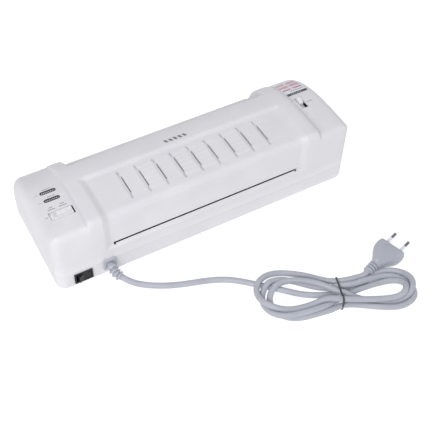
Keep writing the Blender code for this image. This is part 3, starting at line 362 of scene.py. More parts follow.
METALS = {
    "zinc_plated_steel": ((0.50, 0.51, 0.53), (0.66, 0.67, 0.69), (0.28, 0.45)),
    "ground_steel": ((0.58, 0.58, 0.60), (0.74, 0.74, 0.76), (0.16, 0.30)),
    "heater_aluminium": ((0.66, 0.67, 0.68), (0.80, 0.81, 0.82), (0.28, 0.42)),
}


def make_looks():
    looks = {name: moulded(name, *values, **others) for name, (*values, others) in MOULDED.items()}
    looks |= {name: metal(name, *values) for name, values in METALS.items()}
    looks["indicator_lens"] = lens_look()
    looks["circuit_board_green"] = board_look()
    looks["plug_pin"] = pin_look()
    return looks


# ---------------------------------------------------------------- mesh helpers
def add_piece(name, points, faces, look, body, slot):
    """A closed mesh piece, laid out in the casing's coordinates, that rides on a body. A cutter has none."""
    shape = bmesh.new()
    corners = [shape.verts.new((x, y + SHIFT_Y, z)) for x, y, z in points]
    for face in faces:
        shape.faces.new([corners[index] for index in face])
    bmesh.ops.recalc_face_normals(shape, faces=shape.faces)
    mesh = bpy.data.meshes.new(name)
    shape.to_mesh(mesh)
    shape.free()
    item = bpy.data.objects.new(name, mesh)
    bpy.context.scene.collection.objects.link(item)
    if look:
        mesh.materials.append(look)
    if body:
        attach(item, body)
    mesh.shade_smooth()
    mesh.set_sharp_from_angle(angle=SHARP_ANGLE)
    return item


def join_shapes(shapes):
    points = []
    faces = []
    for shape_points, shape_faces in shapes:
        first = len(points)
        points += shape_points
        faces += [[first + index for index in face] for face in shape_faces]
    return points, faces


def loft(loops):
    count = len(loops[0])
    points = [tuple(point) for loop in loops for point in loop]
    faces = []
    for row in range(len(loops) - 1):
        for index in range(count):
            after = (index + 1) % count
            here = row * count
            faces.append([here + index, here + after, here + count + after, here + count + index])
    faces.append(list(range(count)))
    faces.append([(len(loops) - 1) * count + index for index in range(count)])
    return points, faces


def upright(outline, low, high):
    return loft([[(x, y, z) for x, y in outline] for z in (low, high)])


def box_shape(low, high):
    outline = ((low[0], low[1]), (high[0], low[1]), (high[0], high[1]), (low[0], high[1]))
    return upright(outline, low[2], high[2])


def stadium(centre, length, width, sides):
    reach = (length - width) / 2
    outline = []
    for end, begin in ((1, -math.pi / 2), (-1, math.pi / 2)):
        for step in range(sides + 1):
            angle = begin + math.pi * step / sides
            outline.append((centre[0] + end * reach + width / 2 * math.cos(angle),
                            centre[1] + width / 2 * math.sin(angle)))
    return outline


def rounded_rectangle(centre, size, radius):
    sides = 5
    outline = []
    for sign_x, sign_y, begin in ((1, -1, -90), (1, 1, 0), (-1, 1, 90), (-1, -1, 180)):
        for step in range(sides + 1):
            angle = math.radians(begin + 90 * step / sides)
            outline.append((centre[0] + sign_x * (size[0] / 2 - radius) + radius * math.cos(angle),
                            centre[1] + sign_y * (size[1] / 2 - radius) + radius * math.sin(angle)))
    return outline


def bevel(item, width):
    step = item.modifiers.new("edge_bevel", "BEVEL")
    step.width = width
    step.segments = 3
    step.limit_method = "ANGLE"
    step.angle_limit = math.radians(30)
    step.harden_normals = True


def bake(item):
    """Applies an object's modifiers."""
    bpy.context.view_layer.update()
    graph = bpy.context.evaluated_depsgraph_get()
    mesh = bpy.data.meshes.new_from_object(item.evaluated_get(graph), depsgraph=graph)
    item.modifiers.clear()
    item.data = mesh


def cut(item, shapes):
    """Cuts closed shapes, which don't overlap each other, out of an item."""
    guide = add_piece("cutter", *join_shapes(shapes), None, None, None)
    step = item.modifiers.new("cut", "BOOLEAN")
    step.operation = "DIFFERENCE"
    step.solver = "EXACT"
    step.object = guide
    bake(item)
    item.data.set_sharp_from_angle(angle=SHARP_ANGLE)
    bpy.data.objects.remove(guide, do_unlink=True)


# ---------------------------------------------------------------- the casing's outer form
def crown_z(y, crown, inset=0.0):
    """Height of the casing over y, drawn in by inset."""
    top_z, power = crown
    if y <= CROWN_Y:
        return top_z - inset
    across = min((y - CROWN_Y) / (HALF_DEPTH - CROWN_Y - inset), 1.0)
    return CROWN_Z + (top_z - CROWN_Z - inset) * (1 - across ** power) ** (1 / power)


def crown_tilt(y, crown):
    """The unit normal of the crown over y, as (y, z)."""
    reach = 0.0005
    slope = (crown_z(y + reach, crown) - crown_z(y - reach, crown)) / (2 * reach)
    return Vector((-slope, 1.0)).normalized()


def share_of(value, ends):
    """0 to 1 between two ends, easing in and out."""
    share = min(max((value - ends[0]) / (ends[1] - ends[0]), 0.0), 1.0)
    return share * share * (3 - 2 * share)


def mix(one, two, share):
    return one + (two - one) * share


# The exit ledge, from below, as (distance behind the near face, height).
LEDGE = ((0.0, 0.0405), (0.0, 0.0411), (0.0002, 0.0417), (0.0008, 0.0422), (0.0021, 0.0431), (0.0026, 0.0435),
         (0.0028, 0.0438), (0.0028, 0.0444), (0.0030, 0.0448), (0.0036, 0.0451), (0.0036, 0.0458))
TOP_YS = (-0.052, -0.043, -0.036, -0.029, -0.022, -0.016, -0.0105, -0.0084, -0.0072, -0.0063, -0.0054,
          -0.0045, -0.0036, -0.0027, -0.0018, -0.0008, 0.003, 0.008, 0.014, 0.020)
FAR_START_Y = 0.022
FAR_END_Z = 0.0310
NOTCH_TOP_YS = (0.0258, 0.0272)
NOTCH_WALL = ((0.0284, 0.08545), (0.0294, 0.0844), (0.0302, 0.0832), (0.0309, 0.0819), (0.0317, 0.0796),
              (0.0325, 0.0766), (0.0335, 0.0705), (0.0347, 0.0615), (0.0360, 0.0510), (0.0366, 0.0466),
              (0.0370, TABLE_Z), (0.0480, TABLE_Z), (0.0600, TABLE_Z), (0.0690, TABLE_Z),
              (0.0699, TABLE_Z - 0.0002), (0.0706, TABLE_Z - 0.0008), (0.0709, TABLE_Z - 0.0018))


def far_side(crown, inset):
    """The rounded far side by angle, so that its points lie evenly round the curve."""
    top_z, power = crown
    width = HALF_DEPTH - CROWN_Y - inset
    height = top_z - CROWN_Z - inset
    first = math.asin(((FAR_START_Y - CROWN_Y) / width) ** (power / 2))
    last = math.acos(((FAR_END_Z - CROWN_Z) / height) ** (power / 2))
    points = []
    steps = len(NOTCH_TOP_YS) + len(NOTCH_WALL)
    for step in range(steps + 1):
        angle = mix(first, last, step / steps)
        points.append((CROWN_Y + width * math.sin(angle) ** (2 / power),
                       CROWN_Z + height * math.cos(angle) ** (2 / power)))
    return points


def notched_side():
    points = [(y, crown_z(y, MID_CROWN)) for y in (FAR_START_Y, *NOTCH_TOP_YS)]
    return points + list(NOTCH_WALL)


def cover_outline(x, inset):
    """The cover's outer section, from the near seam over the top to the far seam, at x from the middle."""
    ridge = share_of(x, RIDGE_X)
    recess = 1 - share_of(x, RECESS_X)
    notch = 1 - share_of(x, NOTCH_X)
    crown = (mix(MID_CROWN[0], END_CROWN[0], ridge), mix(MID_CROWN[1], END_CROWN[1], ridge))
    near = -HALF_DEPTH + inset
    outline = [(near, SEAM_Z)]
    outline += [(near + back * recess, z) for back, z in LEDGE]
    radius = max(EDGE_RADIUS - inset, 0.0006)
    face = near + RECESS_DEPTH * recess
    top = crown[0] - RECESS_DEPTH * recess - inset
    for step in range(11):
        angle = math.pi / 2 * step / 10
        outline.append((face + radius * (1 - math.cos(angle)), top - radius * (1 - math.sin(angle))))
    for y in TOP_YS:
        sunk = recess * (1 - share_of(y, (RECESS_FAR_Y - 0.0004, RECESS_RIM_Y + 0.0004)))
        outline.append((y, crown_z(y, crown, inset) - RECESS_DEPTH * sunk))
    for one, two in zip(far_side(crown, inset), notched_side()):
        outline.append((mix(one[0], two[0], notch), mix(one[1], two[1], notch)))
    return outline + [(HALF_DEPTH - 0.0001 - inset, SEAM_Z + 0.0035), (HALF_DEPTH - inset, SEAM_Z)]


def round_end(half_length, radius, steps):
    """Places along the rounded end and how far the section is drawn in at each."""
    for step in range(steps + 1):
        angle = math.pi / 2 * step / steps
        yield half_length - radius + radius * math.sin(angle), radius * (1 - math.cos(angle))


def cover_loops():
    places = [(x, 0.0) for x in (0.0, 0.04, 0.08, 0.115, 0.139, 0.158, 0.170)]
    for ends in (RECESS_X, NOTCH_X, RIDGE_X):
        places += [(mix(*ends, step / 8), 0.0) for step in range(9)]
    places = sorted(set(places)) + list(round_end(HALF_LENGTH, END_ROUND, 8))
    both = [(-x, inset) for x, inset in reversed(places[1:])] + places
    return [[(x, y, z) for y, z in cover_outline(abs(x), inset)] for x, inset in both]


# The hollow behind the middle of the cover, as (y, z), clear of the frames, guides and rollers inside.
HOLLOW = ((-0.0686, 0.0200), (-0.0686, 0.0403), (-0.0652, 0.0437), (-0.0652, 0.0845), (-0.0635, 0.0882),
          (-0.0590, 0.0900), (-0.0430, 0.0900))
HOLLOW_YS = (-0.034, -0.026, -0.018, -0.0105)
HOLLOW_FAR = ((-0.0030, 0.0022), (0.0060, 0.0022), (0.0140, 0.0022), (0.0215, 0.0024))
HOLLOW_WALL = ((0.0262, 0.0838), (0.0286, 0.0815), (0.0305, 0.0757), (0.0336, 0.0512), (0.0343, 0.0423),
               (0.0684, 0.0423), (0.0686, 0.0405), (0.0686, 0.0200))


def middle_hollow():
    outline = list(HOLLOW)
    outline += [(y, crown_z(y, MID_CROWN) - RECESS_DEPTH - WALL) for y in HOLLOW_YS]
    outline += [(y, crown_z(y, MID_CROWN) - thick) for y, thick in HOLLOW_FAR]
    outline += HOLLOW_WALL
    return loft([[(x, y, z) for y, z in outline] for x in (-0.1353, 0.1353)])


def end_hollow(sign):
    """The hollow of one end housing: the outer section drawn in by the wall."""
    places = [(0.1345, 0.0)] + list(round_end(HALF_LENGTH - WALL, END_ROUND - WALL, 7))
    loops = []
    for x, inset in places:
        outline = cover_outline(HALF_LENGTH, WALL + inset)
        outline[0] = (outline[0][0], 0.0200)
        outline[-1] = (outline[-1][0], 0.0200)
        loops.append([(sign * x, y, z) for y, z in outline])
    return loft(loops)


def vent_xs():
    return [(index - (VENT_COUNT - 1) / 2) * VENT_PITCH for index in range(VENT_COUNT)]


def panel_floor(outline, depth):
    """A cutter over the vent panel whose floor follows the panel at a depth."""
    floor = [(x, y, crown_z(y, MID_CROWN) - RECESS_DEPTH - depth) for x, y in outline]
    return loft([floor, [(x, y, CUTTER_TOP) for x, y in outline]])


def vent_trough(x):
    """A trough with two narrow tails. Its middle bulges to the left and slopes down to the slit."""
    rows = ((0.0, 0.7, 0.7), (0.012, 1.1, 1.1), (0.045, 1.2, 1.2), (0.15, 1.2, 1.2), (0.185, 1.5, 1.9),
            (0.22, 1.8, 2.6), (0.34, 2.3, 2.6), (0.5, 2.4, 2.6))
    rows += tuple((1 - along, left, right) for along, left, right in reversed(rows[:-1]))
    loops = []
    for along, left_mm, right_mm in rows:
        y = mix(*VENT_Y, along)
        left, right = x - left_mm / 1000, x + right_mm / 1000
        drop = 0.0012 * (left_mm + right_mm) / 5.0
        floor = crown_z(y, MID_CROWN) - RECESS_DEPTH - TROUGH_DEPTH
        loops.append([(left, y, floor), (right, y, floor - drop),
                      (right, y, CUTTER_TOP), (left, y, CUTTER_TOP)])
    return loft(loops)


def vent_cuts(x):
    """The slit through the panel on the trough's right, and a deeper groove in each tail."""
    near, far = VENT_Y
    left, right = x + 0.0013, x + 0.0023
    slit = [(left, near + 0.0095), (right, near + 0.0090), (right, far - 0.0090), (left, far - 0.0095)]
    shapes = [upright(slit, TOP_WALL_LOW, CUTTER_TOP)]
    for y in (near + 0.0040, far - 0.0040):
        groove = [(x + dy, y + dx) for dx, dy in stadium((0, 0), 0.0070, 0.0021, 6)]
        shapes.append(panel_floor(groove, TAIL_DEPTH))
    return shapes


def slot_loft(end_x, section):
    """Sections along the exit slot, whose floor reaches lower near its ends than between them."""
    half = ((end_x, 0.0432), (0.1176, 0.0432), (0.1172, 0.0450))
    places = [(-x, low) for x, low in half] + list(reversed(half))
    return loft([[(x, y, z) for y, z in section(low)] for x, low in places])


def exit_slot():
    """The slot's cutter. Its floor falls away inside."""
    return slot_loft(SLOT_HALF_LENGTH, lambda low: (
        (-0.0760, low), (-0.0676, low), (-0.0640, low - 0.0080), (-0.0600, low - 0.0080), (-0.0600, 0.0473),
        (-0.0760, 0.0473)))


def make_exit_slot_painted_shade(looks):
    """A dark strip on the slot's falling floor: painted shade for the dark inside of the slot."""
    shape = slot_loft(0.1198, lambda low: (
        (-0.0674, low - 0.0004), (-0.0640, low - 0.0079), (-0.0602, low - 0.0079), (-0.0602, low - 0.0075),
        (-0.0637, low - 0.0075), (-0.0672, low)))
    add_piece("exit_slot_painted_shade", *shape, looks["foot_rubber"], "casing", "foot_rubber")


def make_cover(looks):
    cover = add_piece("upper_cover", *loft(cover_loops()), looks["white_casing"], "casing", "white_casing")
    cut(cover, [middle_hollow()])
    cut(cover, [end_hollow(-1), end_hollow(1)])
    cut(cover, [vent_trough(x) for x in vent_xs()])
    feed_z = TABLE_Z + GAP
    shapes = [exit_slot(), box_shape((-SLOT_HALF_LENGTH, 0.030, feed_z),
                                     (SLOT_HALF_LENGTH, 0.0385, feed_z + FEED_SLOT_HEIGHT))]
    for x in vent_xs():
        shapes += vent_cuts(x)
    for y in WINDOW_Y:
        outline = stadium((WINDOW_X, y), WINDOW_SIZE[0] + 2 * GAP, WINDOW_SIZE[1] + 2 * GAP, ROUND_SIDES)
        shapes.append(upright(outline, TOP_WALL_LOW, OPENING_TOP))
    outline = rounded_rectangle(SLIDER_CENTRE, SLIDER_OPENING, OPENING_CORNER)
    shapes.append(upright(outline, TOP_WALL_LOW, OPENING_TOP))
    lever_y = sum(LEVER_OPENING_Y) / 2
    size = (LEVER_WIDTH + 2 * GAP, LEVER_OPENING_Y[1] - LEVER_OPENING_Y[0])
    outline = rounded_rectangle((LEVER_X, lever_y), size, OPENING_CORNER)
    shapes.append(upright(outline, 0.079, OPENING_TOP))
    half = RELIEF_NECK[0] / 2 + GAP
    x = RELIEF_CENTRE[0]
    shapes.append(box_shape((x - half, -0.075, 0.0200), (x + half, -0.066, 0.0257)))
    cut(cover, shapes)
    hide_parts("top_cover")


# ---------------------------------------------------------------- printed marks and the sticker
def curved_film(name, ends_x, ends_y, crown, low, high, look, slot, steps, lean=0.0):
    """A thin film that follows the crown between two lifts above it, in rows. Lean slants it."""
    loops = []
    for step in range(steps + 1):
        y = mix(*ends_y, step / steps)
        tilt = crown_tilt(y, crown)
        shift = lean * (y - ends_y[0])
        ring = []
        for x, lift in ((ends_x[0], low), (ends_x[1], low), (ends_x[1], high), (ends_x[0], high)):
            ring.append((x + shift, y + tilt.x * lift, crown_z(y, crown) + tilt.y * lift))
        loops.append(ring)
    return add_piece(name, *loft(loops), look, "casing", slot)


def make_sticker(looks):
    film_low, film_high = 0.00006, 0.00026
    ink_high = 0.00032
    begin, end = STICKER_X

    def print_patch(name, ends_x, ends_y, look, steps, low=film_high, high=ink_high):
        return curved_film(name, ends_x, ends_y, END_CROWN, low, high, looks[look], "sticker_film", steps)

    base = print_patch("guide_label", STICKER_X, STICKER_Y, "sticker_film", 16, film_low, film_high)
    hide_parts("guide_sticker")
    left = (begin + 0.0012, begin + 0.0128)
    right = (begin + 0.0158, end - 0.0012)
    rows = (("far", 0.0372, 0.0428, "sticker_red"), ("middle", 0.0285, 0.0335, "sticker_red"),
            ("near", 0.0218, 0.0242, "sticker_deep_red"))
    for row, near, far, look in rows:
        for side, ends in (("left", left), ("right", right)):
            print_patch(f"label_{row}_{side}", ends, (near, far), look, 5)
    print_patch("label_rule", (begin + 0.0088, end - 0.0015), (0.0172, 0.0182), "print_grey", 3)
    print_patch("label_bar", (begin + 0.0004, end - 0.0004), (0.0093, 0.0137), "print_black", 4)
    for index in range(6):
        x = begin + 0.0062 + index * 0.0026
        print_patch(f"label_tick_{index + 1}", (x, x + 0.0009), (0.0104, 0.0118), "sticker_film", 2, ink_high,
                    ink_high + 0.00005)


def make_marks(looks):
    """Plain dashes in place of legends, and slanted bars in place of a name."""
    lift = (0.00002, 0.00007)

    def mark(name, ends_x, ends_y, crown, steps, lean=0.0):
        curved_film(name, ends_x, ends_y, crown, *lift, looks["print_grey"], "white_casing", steps, lean)

    dashes = (
        ("window_far", -0.1706, -0.1608, 0.0058, 0.0010), ("window_near", -0.1690, -0.1600, -0.0074, 0.0009),
        ("lead_far", -0.1815, -0.1772, 0.0002, 0.0005), ("lead_near", -0.1815, -0.1768, -0.0130, 0.0005),
        ("slider_left_top", -0.1742, -0.1695, -0.0238, 0.0009),
        ("slider_left_low", -0.1762, -0.1672, -0.0270, 0.0012),
        ("slider_right_top", -0.1612, -0.1560, -0.0236, 0.0009),
        ("slider_right_low", -0.1630, -0.1537, -0.0268, 0.0012),
        ("slider_lead", -0.1828, -0.1796, -0.0365, 0.0005),
    )
    for name, x_low, x_high, y, width in dashes:
        gaps = 4 if x_high - x_low > 0.006 and width > 0.0006 else 1
        pitch = (x_high - x_low) / gaps
        for index in range(gaps):
            begin = x_low + index * pitch
            end = begin + pitch * (0.78 if gaps > 1 else 1.0)
            mark(f"mark_{name}_{index + 1}", (begin, end), (y - width / 2, y + width / 2), END_CROWN, 2)
    mark("mark_lever", (LEVER_X + 0.0065, LEVER_X + 0.0140), (-0.0112, -0.0104), END_CROWN, 2)
    for index in range(5):
        x = -0.0180 + index * 0.0060
        mark(f"generic_mark_{index + 1}", (x, x + 0.0034), (0.0030, 0.0082), MID_CROWN, 3, lean=-0.35)


# ---------------------------------------------------------------- controls
def ring_shape(outer, inner, heights):
    """A flat ring between two outlines of the same number of points, with heights for low and high."""
    low, high = heights
    loops = [[(x, y, z) for x, y in outline] for outline, z in
             ((inner, low), (outer, low), (outer, high), (inner, high))]
    count = len(outer)
    points = [point for loop in loops for point in loop]
    faces = []
    for row in range(4):
        for index in range(count):
            after = (index + 1) % count
            here, there = row * count, (row + 1) % 4 * count
            faces.append([here + index, here + after, there + after, there + index])
    return points, faces


def make_windows(looks):
    length, width = WINDOW_SIZE
    for name, y in zip(("power", "ready"), WINDOW_Y):
        top = crown_z(y, END_CROWN)
        outer = stadium((WINDOW_X, y), length, width, ROUND_SIDES)
        inner = stadium((WINDOW_X, y), length - WINDOW_RIM, width - WINDOW_RIM, ROUND_SIDES)
        rim = add_piece(f"{name}_rim", *ring_shape(outer, inner, (top - 0.0030, top + 0.0001)),
                        looks["black_switch_plastic"], "casing", "black_switch_plastic")
        rim.data.shade_flat()
        loops = []
        for inset, z in ((0.00088, 0.0760), (0.00088, top - 0.0006), (0.0012, top - 0.0002), (0.0017, top)):
            outline = stadium((WINDOW_X, y), length - 2 * inset, width - 2 * inset, ROUND_SIDES)
            loops.append([(x, py, z) for x, py in outline])
        lens = add_piece(f"{name}_lens", *loft(loops), looks["indicator_lens"], "casing", "indicator_lens")
        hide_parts(f"{name}_indicator")


def make_slider(looks):
    """The film-thickness knob: a block with a dished top, three grooves and a skirt under the cover."""
    x = SLIDER_CENTRE[0] + SLIDER_REST
    y = SLIDER_CENTRE[1]
    top = END_CROWN[0] + 0.0006
    half_x, half_y = SLIDER_KNOB[0] / 2, SLIDER_KNOB[1] / 2
    loops = []
    for inset, z in ((0.0, 0.0848), (0.0, top - 0.0009), (0.0002, top - 0.0004), (0.0006, top - 0.0001),
                     (0.0011, top), (0.0016, top - 0.0001), (0.0021, top - 0.0004), (0.0040, top - 0.0006)):
        outline = rounded_rectangle((x, y), (2 * (half_x - inset), 2 * (half_y - inset)), 0.0010)
        loops.append([(px, py, z) for px, py in outline])
    knob = add_piece("slider_knob", *loft(loops), looks["casing_knob"], "thickness_slider", "white_casing")
    skirt = box_shape((x - 0.0168, y - 0.0088, 0.0862), (x + 0.0100, y + 0.0095, 0.0871))
    add_piece("slider_skirt", *skirt, looks["casing_knob"], "thickness_slider", "white_casing")
    grooves = []
    for index in range(3):
        groove_x = x - half_x + 0.0016 + index * 0.0011
        grooves.append(box_shape((groove_x, y - 0.0040, top - 0.0009),
                                 (groove_x + 0.0004, y + 0.0040, top + 0.001)))
    cut(knob, grooves)
    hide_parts("thickness_slider")


def make_lever(looks):
    """The release knob: a rounded block with a thumb rest on a skirt that runs under the cover."""
    far = LEVER_OPENING_Y[1] - 0.0006
    near = far - LEVER_KNOB_LENGTH
    half = LEVER_WIDTH / 2 - 0.0010
    side = [
        (near - 0.0070, 0.0822), (far + 0.0070, 0.0822), (far + 0.0070, 0.0838), (far, 0.0838), (far, 0.0894),
        (far - 0.0005, 0.0905), (far - 0.0014, 0.0914), (far - 0.0030, 0.0918), (far - 0.0048, 0.0915),
        (near + 0.0040, 0.0909), (near + 0.0022, 0.0899), (near + 0.0009, 0.0886), (near, 0.0870),
        (near, 0.0838), (near - 0.0070, 0.0838),
    ]
    loops = []
    middle = (near + far) / 2
    sections = ((-1.0, 0.0007), (-0.93, 0.0002), (-0.84, 0.0), (0.84, 0.0), (0.93, 0.0002), (1.0, 0.0007))
    for share, inset in sections:
        ring = []
        for y, z in side:
            pull = inset if z > 0.0840 else 0.0
            drawn_y = y - math.copysign(min(pull, abs(y - middle)), y - middle)
            ring.append((LEVER_X + half * share, drawn_y, z - pull))
        loops.append(ring)
    knob = add_piece("lever_knob", *loft(loops), looks["casing_knob"], "release_lever", "white_casing")
    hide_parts("release_lever")


# ---------------------------------------------------------------- gland, plug and tie
def tube(path, radii, sides):
    """Rings of the given radii along a path, capped."""
    loops = []
    side = Vector((1, 0, 0))
    for index, point in enumerate(path):
        ahead = Vector(path[min(index + 1, len(path) - 1)]) - Vector(path[max(index - 1, 0)])
        ahead.normalize()
        side = (side - ahead * side.dot(ahead)).normalized()
        up = ahead.cross(side)
        ring = []
        for step in range(sides):
            angle = 2 * math.pi * step / sides
            ring.append(tuple(Vector(point) + radii[index] * (math.cos(angle) * side + math.sin(angle) * up)))
        loops.append(ring)
    return loft(loops)


def ribbed_radii(count, start, end, ribs, rise, margin=0.08):
    """A taper with raised ribs and grooves between them."""
    rib_half, rib_power = 0.37, 6
    radii = []
    for index in range(count):
        share = index / (count - 1)
        inner = (share - margin) / (1 - 2 * margin)
        wave = 0.0
        if 0 < inner < 1:
            wave = max(0.0, 1 - (abs((inner * ribs) % 1 - 0.5) / rib_half) ** rib_power)
        radii.append(mix(start, end, share) + rise * wave)
    return radii


def make_gland(looks):
    """Flange, neck and ribbed boot where the lead leaves the base."""
    x, z = RELIEF_CENTRE
    flange_y = -HALF_DEPTH - GAP
    loops = []
    for inset, y in ((0.0, flange_y), (0.0, flange_y - 0.0014), (0.0003, flange_y - 0.0019),
                     (0.0009, flange_y - 0.0022)):
        size = (RELIEF_FLANGE[0] - 2 * inset, RELIEF_FLANGE[1] - 2 * inset)
        outline = rounded_rectangle((x, z), size, 0.0016)
        loops.append([(px, y, pz) for px, pz in outline])
    flange = add_piece("gland_flange", *loft(loops), looks["plug_pvc"], "casing", "grey_cord_pvc")
    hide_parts("strain_relief")
    neck = [[(px, y, pz) for px, pz in rounded_rectangle((x, z), RELIEF_NECK, 0.0008)]
            for y in (flange_y + 0.00005, -0.0640)]
    add_piece("gland_neck", *loft(neck), looks["plug_pvc"], "casing", "grey_cord_pvc")
    path = smooth_route(((x, flange_y - 0.0019, z),) + RELIEF_ROUTE, 0.00035)
    radii = ribbed_radii(len(path), *GLAND_BOOT)
    add_piece("gland_boot", *tube(path, radii, BOOT_SIDES), looks["plug_pvc"], "casing", "grey_cord_pvc")


def plug_point(along, across, up):
    cos, sin = math.cos(PLUG_ANGLE), math.sin(PLUG_ANGLE)
    x = PLUG_START[0] + along * cos - across * sin
    y = PLUG_START[1] + along * sin + across * cos
    return (x, y, PLUG_Z + up)


def make_plug(looks):
    """A flat moulded plug with a chamfered top, and its ribbed boot."""
    half_widths = ((0.0, 0.0058), (0.0020, 0.0064), (0.0050, 0.0079), (0.0090, 0.0102), (0.0130, 0.0128),
                   (0.0165, 0.0151), (0.0195, 0.0166), (0.0230, 0.0174), (0.0270, 0.0176), (0.0305, 0.0176),
                   (0.0330, 0.0172), (0.0343, 0.0163), (PLUG_LENGTH, 0.0145))
    outline = [(along, -width) for along, width in half_widths]
    outline += [(along, width) for along, width in reversed(half_widths)]
    loops = []
    sections = ((-0.00685, 0.0020), (-0.0064, 0.0012), (-0.0054, 0.0003), (-0.0042, 0.0), (0.0012, 0.0),
                (0.0028, 0.0004), (0.0044, 0.0016), (0.0056, 0.0034), (0.0061, 0.0050), (0.0062, 0.0066))
    for up, inset in sections:
        ring = []
        for along, across in outline:
            side = math.copysign(max(abs(across) - inset, 0.0022), across)
            ring.append(plug_point(min(along, PLUG_LENGTH - inset * 0.45), side, up))
        loops.append(ring)
    body = add_piece("plug_shell", *loft(loops), looks["plug_pvc"], "casing", "grey_cord_pvc")
    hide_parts("plug_body")
    reach = PLUG_BOOT_LENGTH + 0.003
    count = 66
    path = [plug_point(0.003 - reach * step / (count - 1), 0.0, 0.0) for step in range(count)]
    radii = ribbed_radii(count, *PLUG_BOOT, margin=0.10)
    add_piece("plug_boot", *tube(path, radii, BOOT_SIDES), looks["plug_pvc"], "casing", "grey_cord_pvc")


def make_tie(looks, points):
    """A wire tie: it hugs the strands at the waist, with a short twist hanging at the near end."""
    low, high = [Vector(end) for end in TIE_ENDS]
    along = (high - low).normalized()
    across = Vector((along.y, -along.x))
    begin, end = low - along * 0.0004, high - along * 0.0010
    strand_reach = 0.004
    reach = 0.0013
    radius = CORD_RADIUS + reach * 0.8
    steps = 44
    places = [begin.lerp(end, step / steps) for step in range(steps + 1)]
    top = []
    for here in places:
        height = 0.0
        for point in points:
            flat = Vector((point[0], point[1] - SHIFT_Y)) - here
            if abs(flat.dot(across)) > strand_reach:
                continue
            gap = abs(flat.dot(along))
            if gap < CORD_RADIUS + reach:
                height = max(height, point[2] + math.sqrt(radius ** 2 - min(gap, radius) ** 2))
        top.append(max(height, 0.0012))
    for turn in range(12):
        pulled = [max(top[i], (top[i - 1] + top[i + 1]) / 2) for i in range(1, steps)]
        top = [top[0], *pulled, top[-1]]
    top[0] = top[-1] = 0.0013
    path = smooth_route([(here.x, here.y, height) for here, height in zip(places, top)], 0.0007)
    look = looks["tie_wire_sleeve"]
    band = add_piece("tie_band", *tube(path, [0.00095] * len(path), 10), look, "casing", "tie_wire_sleeve")
    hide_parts("cord_tie")
    twist = []
    twist_steps = 24
    helix = 0.0006
    for step in range(twist_steps + 1):
        angle = 2 * math.pi * 2 * step / twist_steps
        drift = 0.0012 * step / twist_steps - 0.0006
        place = begin - along * drift - across * (0.0010 * step / twist_steps)
        sway = helix * math.cos(angle)
        twist.append((place.x + sway * across.x, place.y + sway * across.y, 0.0018 + helix * math.sin(angle)))
    add_piece("tie_twist", *tube(twist, [0.0008] * len(twist), 8), look, "casing", "tie_wire_sleeve")


# ---------------------------------------------------------------- the CAD nodes that stay
def dress_nodes(looks):
    """Gives every CAD node that still shows its look, and rounds the edges of the switch."""
    for name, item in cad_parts.items():
        for place in item.material_slots:
            slot = place.material.name.split(".")[0]
            place.material = looks["plug_pin" if name.startswith("plug_pin") else slot]
        if name in ("power_switch_housing", "power_switch_rocker"):
            bevel(item, 0.0005)


# ---------------------------------------------------------------- cord
# The route of the mains lead, in order: down from the gland to the floor and along it to the hank, then three
# turns pinched by one tie at the waist, where some of them cross, and up to the plug. The free stretch is the
# CAD's own list of (x, y, z) in metres, with two points inside the gland's boot before it.
BOOT_ROUTE = ((-0.1280, -0.0796, 0.0160), (-0.1266, -0.0836, 0.0124))
CORD_ROUTE = (
    (-0.1223, -0.0898, 0.0083), (-0.1186, -0.0944, 0.0054), (-0.1132, -0.0999, 0.0036),
    (-0.1080, -0.1040, 0.0032), (-0.1000, -0.1095, 0.0032), (-0.0850, -0.1185, 0.0032),
    (-0.0665, -0.1262, 0.0032), (-0.0490, -0.1315, 0.0032), (-0.0325, -0.1368, 0.0032),
    (-0.0195, -0.1428, 0.0032), (-0.0080, -0.1506, 0.0032), (0.0016, -0.1590, 0.0032),
    (0.0093, -0.1668, 0.0032),
)
HANK_CENTRE = (0.085, -0.221)
HANK_ANGLE = math.radians(-23.3)
LOBE_STEPS = 10
# Three turns are six lobes, right and left by turns. Each is an ellipse's centre and radii along and across
# the hank, the angles in degrees where the cord enters and leaves it, and its heights at five even places.
# Lengths are in millimetres.
LOBES = (
    ((60.0, 5.0), (26.5, 23.5), (100, -95), (3.5, 5.0, 10.0, 6.0, 3.5)),
    ((-54.0, -5.0), (28.0, 24.5), (85, 275), (9.5, 9.5, 5.0, 3.5, 3.5)),
    ((60.0, -0.5), (27.0, 21.5), (-90, 90), (3.5, 3.5, 3.5, 3.5, 3.5)),
    ((-61.0, -2.5), (29.0, 27.0), (80, 275), (3.5, 9.0, 4.5, 8.5, 9.5)),
    ((62.0, -0.5), (19.0, 15.0), (95, -95), (3.5, 6.5, 10.5, 11.0, 9.5)),
    ((-63.0, 5.5), (32.5, 28.5), (275, 80), (11.0, 13.5, 9.5, 9.0, 3.5)),
)
# Where the cord passes the waist before each lobe and after the last: along, across and height in mm.
WAISTS = (
    ((-66.0, 11.5, 3.5), (-42.0, 2.0, 3.5), (-12.5, -0.5, 3.5), (14.0, 9.5, 3.5)),
    ((30.0, -12.8, 3.5), (1.0, -3.0, 10.0), (-22.0, 11.5, 9.3)),
    ((-28.0, -23.8, 3.5), (0.0, -13.8, 3.5), (28.0, -17.5, 3.5)),
    ((30.0, 12.3, 9.0), (2.5, 5.0, 5.5), (-25.0, 11.0, 3.5)),
    ((-28.0, -22.0, 8.6), (-6.0, -12.2, 7.0), (18.0, 3.0, 3.5)),
    ((28.0, -15.2, 10.8), (-5.0, -13.5, 13.6), (-33.0, -16.0, 8.8)),
    ((-32.0, 27.8, 3.5), (-12.9, 17.1, 5.0), (0.0, 12.3, 9.0), (14.0, 13.4, 9.2), (27.0, 17.8, 7.6)),
)
PLUG_ENTRY = (0.1266, -0.2140, 0.0070)
SPACING = 0.0025
PIN_COUNT = 4
RELAX_STEPS = 60
FREE_STEPS = 15


